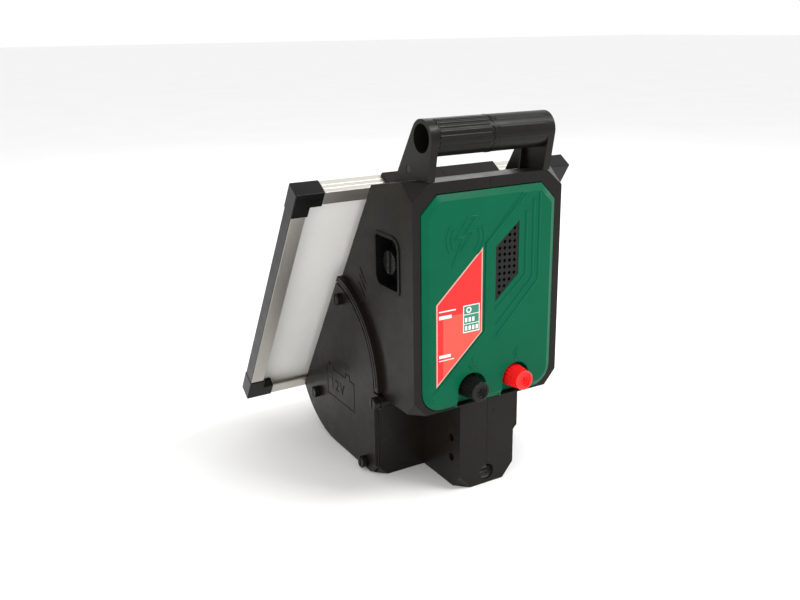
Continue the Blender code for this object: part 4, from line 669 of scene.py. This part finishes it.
def engrave_battery_sign():
    """Sinks the battery sign, an outline with two poles and its voltage, into the cover."""
    piece = bpy.data.objects["battery_cover_skin"]
    graph = bpy.context.evaluated_depsgraph_get()
    rounded = bpy.data.meshes.new_from_object(piece.evaluated_get(graph))
    piece.modifiers.clear()
    piece.data = rounded
    face = BOX_COVER_LOW.x
    depth, width = 0.8 * MM, 1.7 * MM
    outline = [(63.5, 95.2), (63.5, 60.3), (-6.2, 60.3), (-6.2, 95.2)]
    outline += [(5.0, 95.2), (5.0, 101.0), (15.0, 101.0), (15.0, 95.2)]
    outline += [(48.0, 95.2), (48.0, 101.0), (58.0, 101.0), (58.0, 95.2)]
    half = width / 2
    section = [(-half, -depth), (half, -depth), (half, depth), (-half, depth)]
    points = swept_points(side_path(outline, face), LEFTWARD, section, True)
    cutters = [bpy.data.objects.new("sign_outline", grid_mesh("sign_outline", points, True, True))]
    text = bpy.data.curves.new("sign_text", "FONT")
    text.body = "12V"
    text.size = 19.5 * MM
    text.extrude = depth
    text.offset = 0.25 * MM
    text.space_character = 1.25
    lettering = bpy.data.objects.new("sign_text", text)
    bpy.context.scene.collection.objects.link(lettering)
    bpy.context.view_layer.update()
    graph = bpy.context.evaluated_depsgraph_get()
    mesh = bpy.data.meshes.new_from_object(lettering.evaluated_get(graph))
    bpy.data.objects.remove(lettering)
    turn = Matrix(((0, 0, -1), (-1, 0, 0), (0, 1, 0))).to_4x4()
    mesh.transform(Matrix.Translation((face, 55.0 * MM, 70.7 * MM)) @ turn)
    tidy_mesh(mesh)
    cutters.append(bpy.data.objects.new("sign_text", mesh))
    for cutter in cutters:
        bpy.context.scene.collection.objects.link(cutter)
        modifier = piece.modifiers.new(cutter.name, "BOOLEAN")
        modifier.object = cutter
        modifier.operation = "DIFFERENCE"
    bpy.context.view_layer.update()
    graph = bpy.context.evaluated_depsgraph_get()
    cut = bpy.data.meshes.new_from_object(piece.evaluated_get(graph))
    piece.modifiers.clear()
    piece.data = cut
    cut.set_sharp_from_angle(angle=CREASE_ANGLE)
    piece.modifiers.new("even shading", "WEIGHTED_NORMAL").keep_sharp = True
    for cutter in cutters:
        bpy.data.objects.remove(cutter)


def build_rim_bead():
    """A slim bead along the middle of the rim round the drum's upper front, on the left end. Its
    points are the drum's centre + radius * (cos a, sin a)."""
    radius = DRUM_RADIUS + RIM_WIDTH / 2
    angle = np.linspace(math.radians(113), math.radians(177), 40)
    points = [DRUM_CENTRE_Y + radius * np.cos(angle), DRUM_RADIUS + radius * np.sin(angle)]
    path = side_path(np.stack(points, axis=1) / MM, HOUSING_LEFT_X)
    rib("rim_bead", path, LEFTWARD, 2.6 * MM, 0.8 * MM, CASE_BLACK, "energizer")


# ---------------------------------------------------------------- handle


def build_grip_ribs():
    """Ribs along the grip, close and high on the left half, faint and few on the right half. Each
    runs along X at centre + radius * (cos a, sin a) in the side view."""
    for name, low, high, angles, height in (
        ("handle_left", -64.0, -5.0, np.radians([110, 126, 142, 158, 174, 190, 206]), 0.8 * MM),
        ("handle_right", 5.0, 64.0, np.radians([126, 158, 190]), 0.5 * MM),
    ):
        meshes = []
        for angle in angles:
            out = np.array([0.0, math.cos(angle), math.sin(angle)])
            spot = np.array([0.0, GRIP_Y, GRIP_Z]) + out * (GRIP_RADIUS - RIB_SUNK)
            path = spot + np.array([[low * MM, 0, 0], [high * MM, 0, 0]])
            points = swept_points(path, out, round_section(3.4 * MM, height))
            meshes.append(grid_mesh("grip_rib", points, False, True))
        whole = joined(name + "_ribs", meshes)
        add_piece(name + "_ribs", whole, GRIP_BLACK, "energizer")


def build_grip_collar():
    """The toothed collar that closes the joint between the halves of the grip. Its reach from the
    axis is the grip's radius and a little more, but no higher than the grip's top. Its teeth are a
    wave of TEETH turns round it, 4 sin(TEETH a), cut off at -1 and 1, times their depth along X."""
    angle = np.linspace(0, 2 * math.pi, 240, endpoint=False)
    tooth = np.clip(4 * np.sin(TEETH * angle), -1, 1)
    rows = []
    top = GRIP_RADIUS / np.maximum(np.sin(angle), 0.1)
    for side, lift in ((-1, -1.6), (-1, 0.45), (1, 0.45), (1, -1.6)):
        reach = np.minimum(GRIP_RADIUS + lift * MM, top)
        x = side * COLLAR_HALF_WIDTH + tooth * TOOTH_DEPTH
        y, z = GRIP_Y + reach * np.cos(angle), GRIP_Z + reach * np.sin(angle)
        rows.append(np.stack([x, y, z], axis=1))
    mesh = grid_mesh("grip_collar", np.stack(rows, axis=0), True, True)
    add_piece("grip_collar", mesh, GRIP_BLACK, "energizer")


# ---------------------------------------------------------------- solar panel


CELL_COUNT = 6  # each way
CELL_MARGIN = 11 * MM
CELL_GAP = 1.8 * MM
CELL_CORNER = 5.0 * MM
CELL_THICKNESS = 0.06 * MM


def build_cells():
    """Square cells with cut corners, and two silver lines over each column. A place on the panel is
    start + x along the panel + v * DOWN. A cell is its rim on the laminate, the same rim lifted by
    its thickness towards the sun, and its middle."""
    low_x, high_x = LAMINATE_LOW.x + CELL_MARGIN, LAMINATE_HIGH.x - CELL_MARGIN
    corners = node_points("panel_laminate")
    sun_side = corners[corners @ SUNWARD > (corners @ SUNWARD).max() - 1e-5]
    top = sun_side[np.argmin(sun_side @ DOWN)]
    length = (sun_side @ DOWN).max() - (sun_side @ DOWN).min()
    start = np.array([0.0, top[1], top[2]])
    pitch_x = (high_x - low_x) / CELL_COUNT
    pitch_down = (length - 2 * CELL_MARGIN) / CELL_COUNT
    cut = CELL_CORNER
    meshes = []
    lines = []
    width, height = pitch_x - CELL_GAP, pitch_down - CELL_GAP
    for row in range(CELL_COUNT):
        for column in range(CELL_COUNT):
            left = low_x + column * pitch_x + CELL_GAP / 2
            upper = CELL_MARGIN + row * pitch_down + CELL_GAP / 2
            outline = [(cut, 0), (width - cut, 0), (width, cut), (width, height - cut)]
            outline += [(width - cut, height), (cut, height), (0, height - cut), (0, cut)]
            rim = [start + DOWN * (upper + v) + np.array([left + u, 0, 0]) for u, v in outline]
            rim = np.array(rim)
            middle = rim.mean(axis=0, keepdims=True).repeat(len(rim), axis=0)
            lift = SUNWARD * CELL_THICKNESS
            points = np.stack([rim, rim + lift, middle + lift], axis=1)
            meshes.append(grid_mesh("cell", points, True, False))
    add_piece("solar_cells", joined("solar_cells", meshes), CELL_BLUE, "energizer")
    for column in range(CELL_COUNT):
        for share in (0.25, 0.75):
            head = start + np.array([low_x + (column + share) * pitch_x, 0, 0])
            lines.append(np.array([head + DOWN * CELL_MARGIN, head + DOWN * (length - CELL_MARGIN)]))
    ribs("cell_lines", lines, SUNWARD, 1.4 * MM, 0.14 * MM, SILVER_LINE, "energizer")


def build_rail_folds():
    """Two fold lines along the outside of the top rail, on each side of the case's hook."""
    rail = node_points("panel_rail_top")
    down, out = (rail @ DOWN).min(), rail @ SUNWARD
    paths = []
    for share in (0.32, 0.62):
        spot = DOWN * down + SUNWARD * (out.min() + share * (out.max() - out.min()))
        for low, high in ((-142.0, -73.0), (73.0, 142.0)):
            paths.append(spot + np.array([[low * MM, 0, 0], [high * MM, 0, 0]]))
    ribs("rail_folds", paths, -DOWN, 1.3 * MM, 0.45 * MM, RAIL_ACROSS, "energizer")


def build_rail_painted_shade():
    """A black strip of painted shade along the outside of the panel's left rail, where that side lies in
    shade; the right rail has none.
    """
    rail = node_points("panel_rail_left")
    down, out = rail @ DOWN, rail @ SUNWARD
    corners = []
    for along, off in ((0, 0), (1, 0), (1, 1), (0, 1)):
        reach = (down.min(), down.max())[along]
        height = (out.min() + 0.6 * MM, out.max() - 0.6 * MM)[off]
        corners.append(reach * DOWN + height * SUNWARD + np.array([rail[:, 0].min(), 0, 0]))
    # Painted shade: a thin black sheet over the left rail's outer side, which is otherwise the rail's own
    # metal.
    prints("rail_painted_shade", [corners], LEFTWARD, 0.4 * MM, FITTING_BLACK, "energizer")


# ---------------------------------------------------------------- studio


def area_light(name, place, target, size, power, colour=(1, 1, 1)):
    """A soft square light that faces a target."""
    light = bpy.data.lights.new(name, "AREA")
    light.size = size
    light.energy = power
    light.color = colour
    lamp = bpy.data.objects.new(name, light)
    lamp.location = place
    lamp.rotation_euler = (Vector(target) - Vector(place)).to_track_quat("-Z", "Y").to_euler()
    bpy.context.scene.collection.objects.link(lamp)


FLOOR_REACH = 30.0


def build_studio():
    """A pale floor, soft light from all round and the camera."""
    share = np.linspace(-FLOOR_REACH, FLOOR_REACH, 3)
    x, y = np.meshgrid(share, share, indexing="ij")
    points = np.stack([x, y, np.full_like(x, MODEL_BOX[0][2] - 0.2 * MM)], axis=2)
    mesh = bpy.data.meshes.new("floor")
    faces = [(0, 3, 4, 1), (1, 4, 5, 2), (3, 6, 7, 4), (4, 7, 8, 5)]
    mesh.from_pydata(points.reshape(-1, 3).tolist(), [], faces)
    paper, tree, shader = new_finish("floor paper", (0.90, 0.90, 0.90), 0.9)
    share = ranged(tree, noise(tree, object_place(tree), 3.0), 0.0, 1.0)
    tone = blended(tree, share, (0.89, 0.89, 0.89), (0.91, 0.91, 0.91))
    tree.links.new(tone, shader.inputs["Base Color"])
    mesh.materials.append(paper)
    floor = bpy.data.objects.new("floor", mesh)
    bpy.context.scene.collection.objects.link(floor)

    world = bpy.data.worlds.new("studio")
    world.use_nodes = True
    world.node_tree.nodes["Background"].inputs["Color"].default_value = (1, 1, 1, 1)
    world.node_tree.nodes["Background"].inputs["Strength"].default_value = 1.0
    bpy.context.scene.world = world

    target = (0.0, 0.0, 0.2)
    area_light("key", (0.9, -1.0, 1.9), target, 0.7, 26)
    area_light("low left", (-1.7, -0.9, 0.30), target, 1.0, 15, (1.0, 0.93, 0.84))
    area_light("back", (0.6, 1.8, 1.6), target, 1.6, 9)
    area_light("right", (2.0, -0.3, 0.9), target, 1.2, 14)

    camera = bpy.data.cameras.new("camera")
    camera.lens = 38.86
    camera.sensor_width = 36.0
    camera.shift_x = -0.0132
    camera.shift_y = -0.0217
    camera.clip_start = 0.01
    viewer = bpy.data.objects.new("camera", camera)
    roll = math.radians(-0.68)
    ahead = Vector((0.4883, 0.8251, -0.2842)).normalized()
    right = ahead.cross(Vector((0, 0, 1))).normalized()
    up = right.cross(ahead)
    tilted_right = right * math.cos(roll) + up * math.sin(roll)
    tilted_up = up * math.cos(roll) - right * math.sin(roll)
    turn = Matrix((tilted_right, tilted_up, -ahead)).transposed().to_4x4()
    viewer.matrix_world = Matrix.Translation((-0.5053, -0.8229, 0.4850)) @ turn
    bpy.context.scene.collection.objects.link(viewer)
    bpy.context.scene.camera = viewer
    bpy.context.scene.view_settings.view_transform = "Standard"


ease_the_case()
engrave_battery_sign()
dress_the_rest()
build_cover_lines()
build_emblem()
build_terminal_marks()
build_label()
build_knob_rings()
build_rim_bead()
build_grip_ribs()
build_grip_collar()
build_cells()
build_rail_folds()
build_rail_painted_shade()
build_studio()
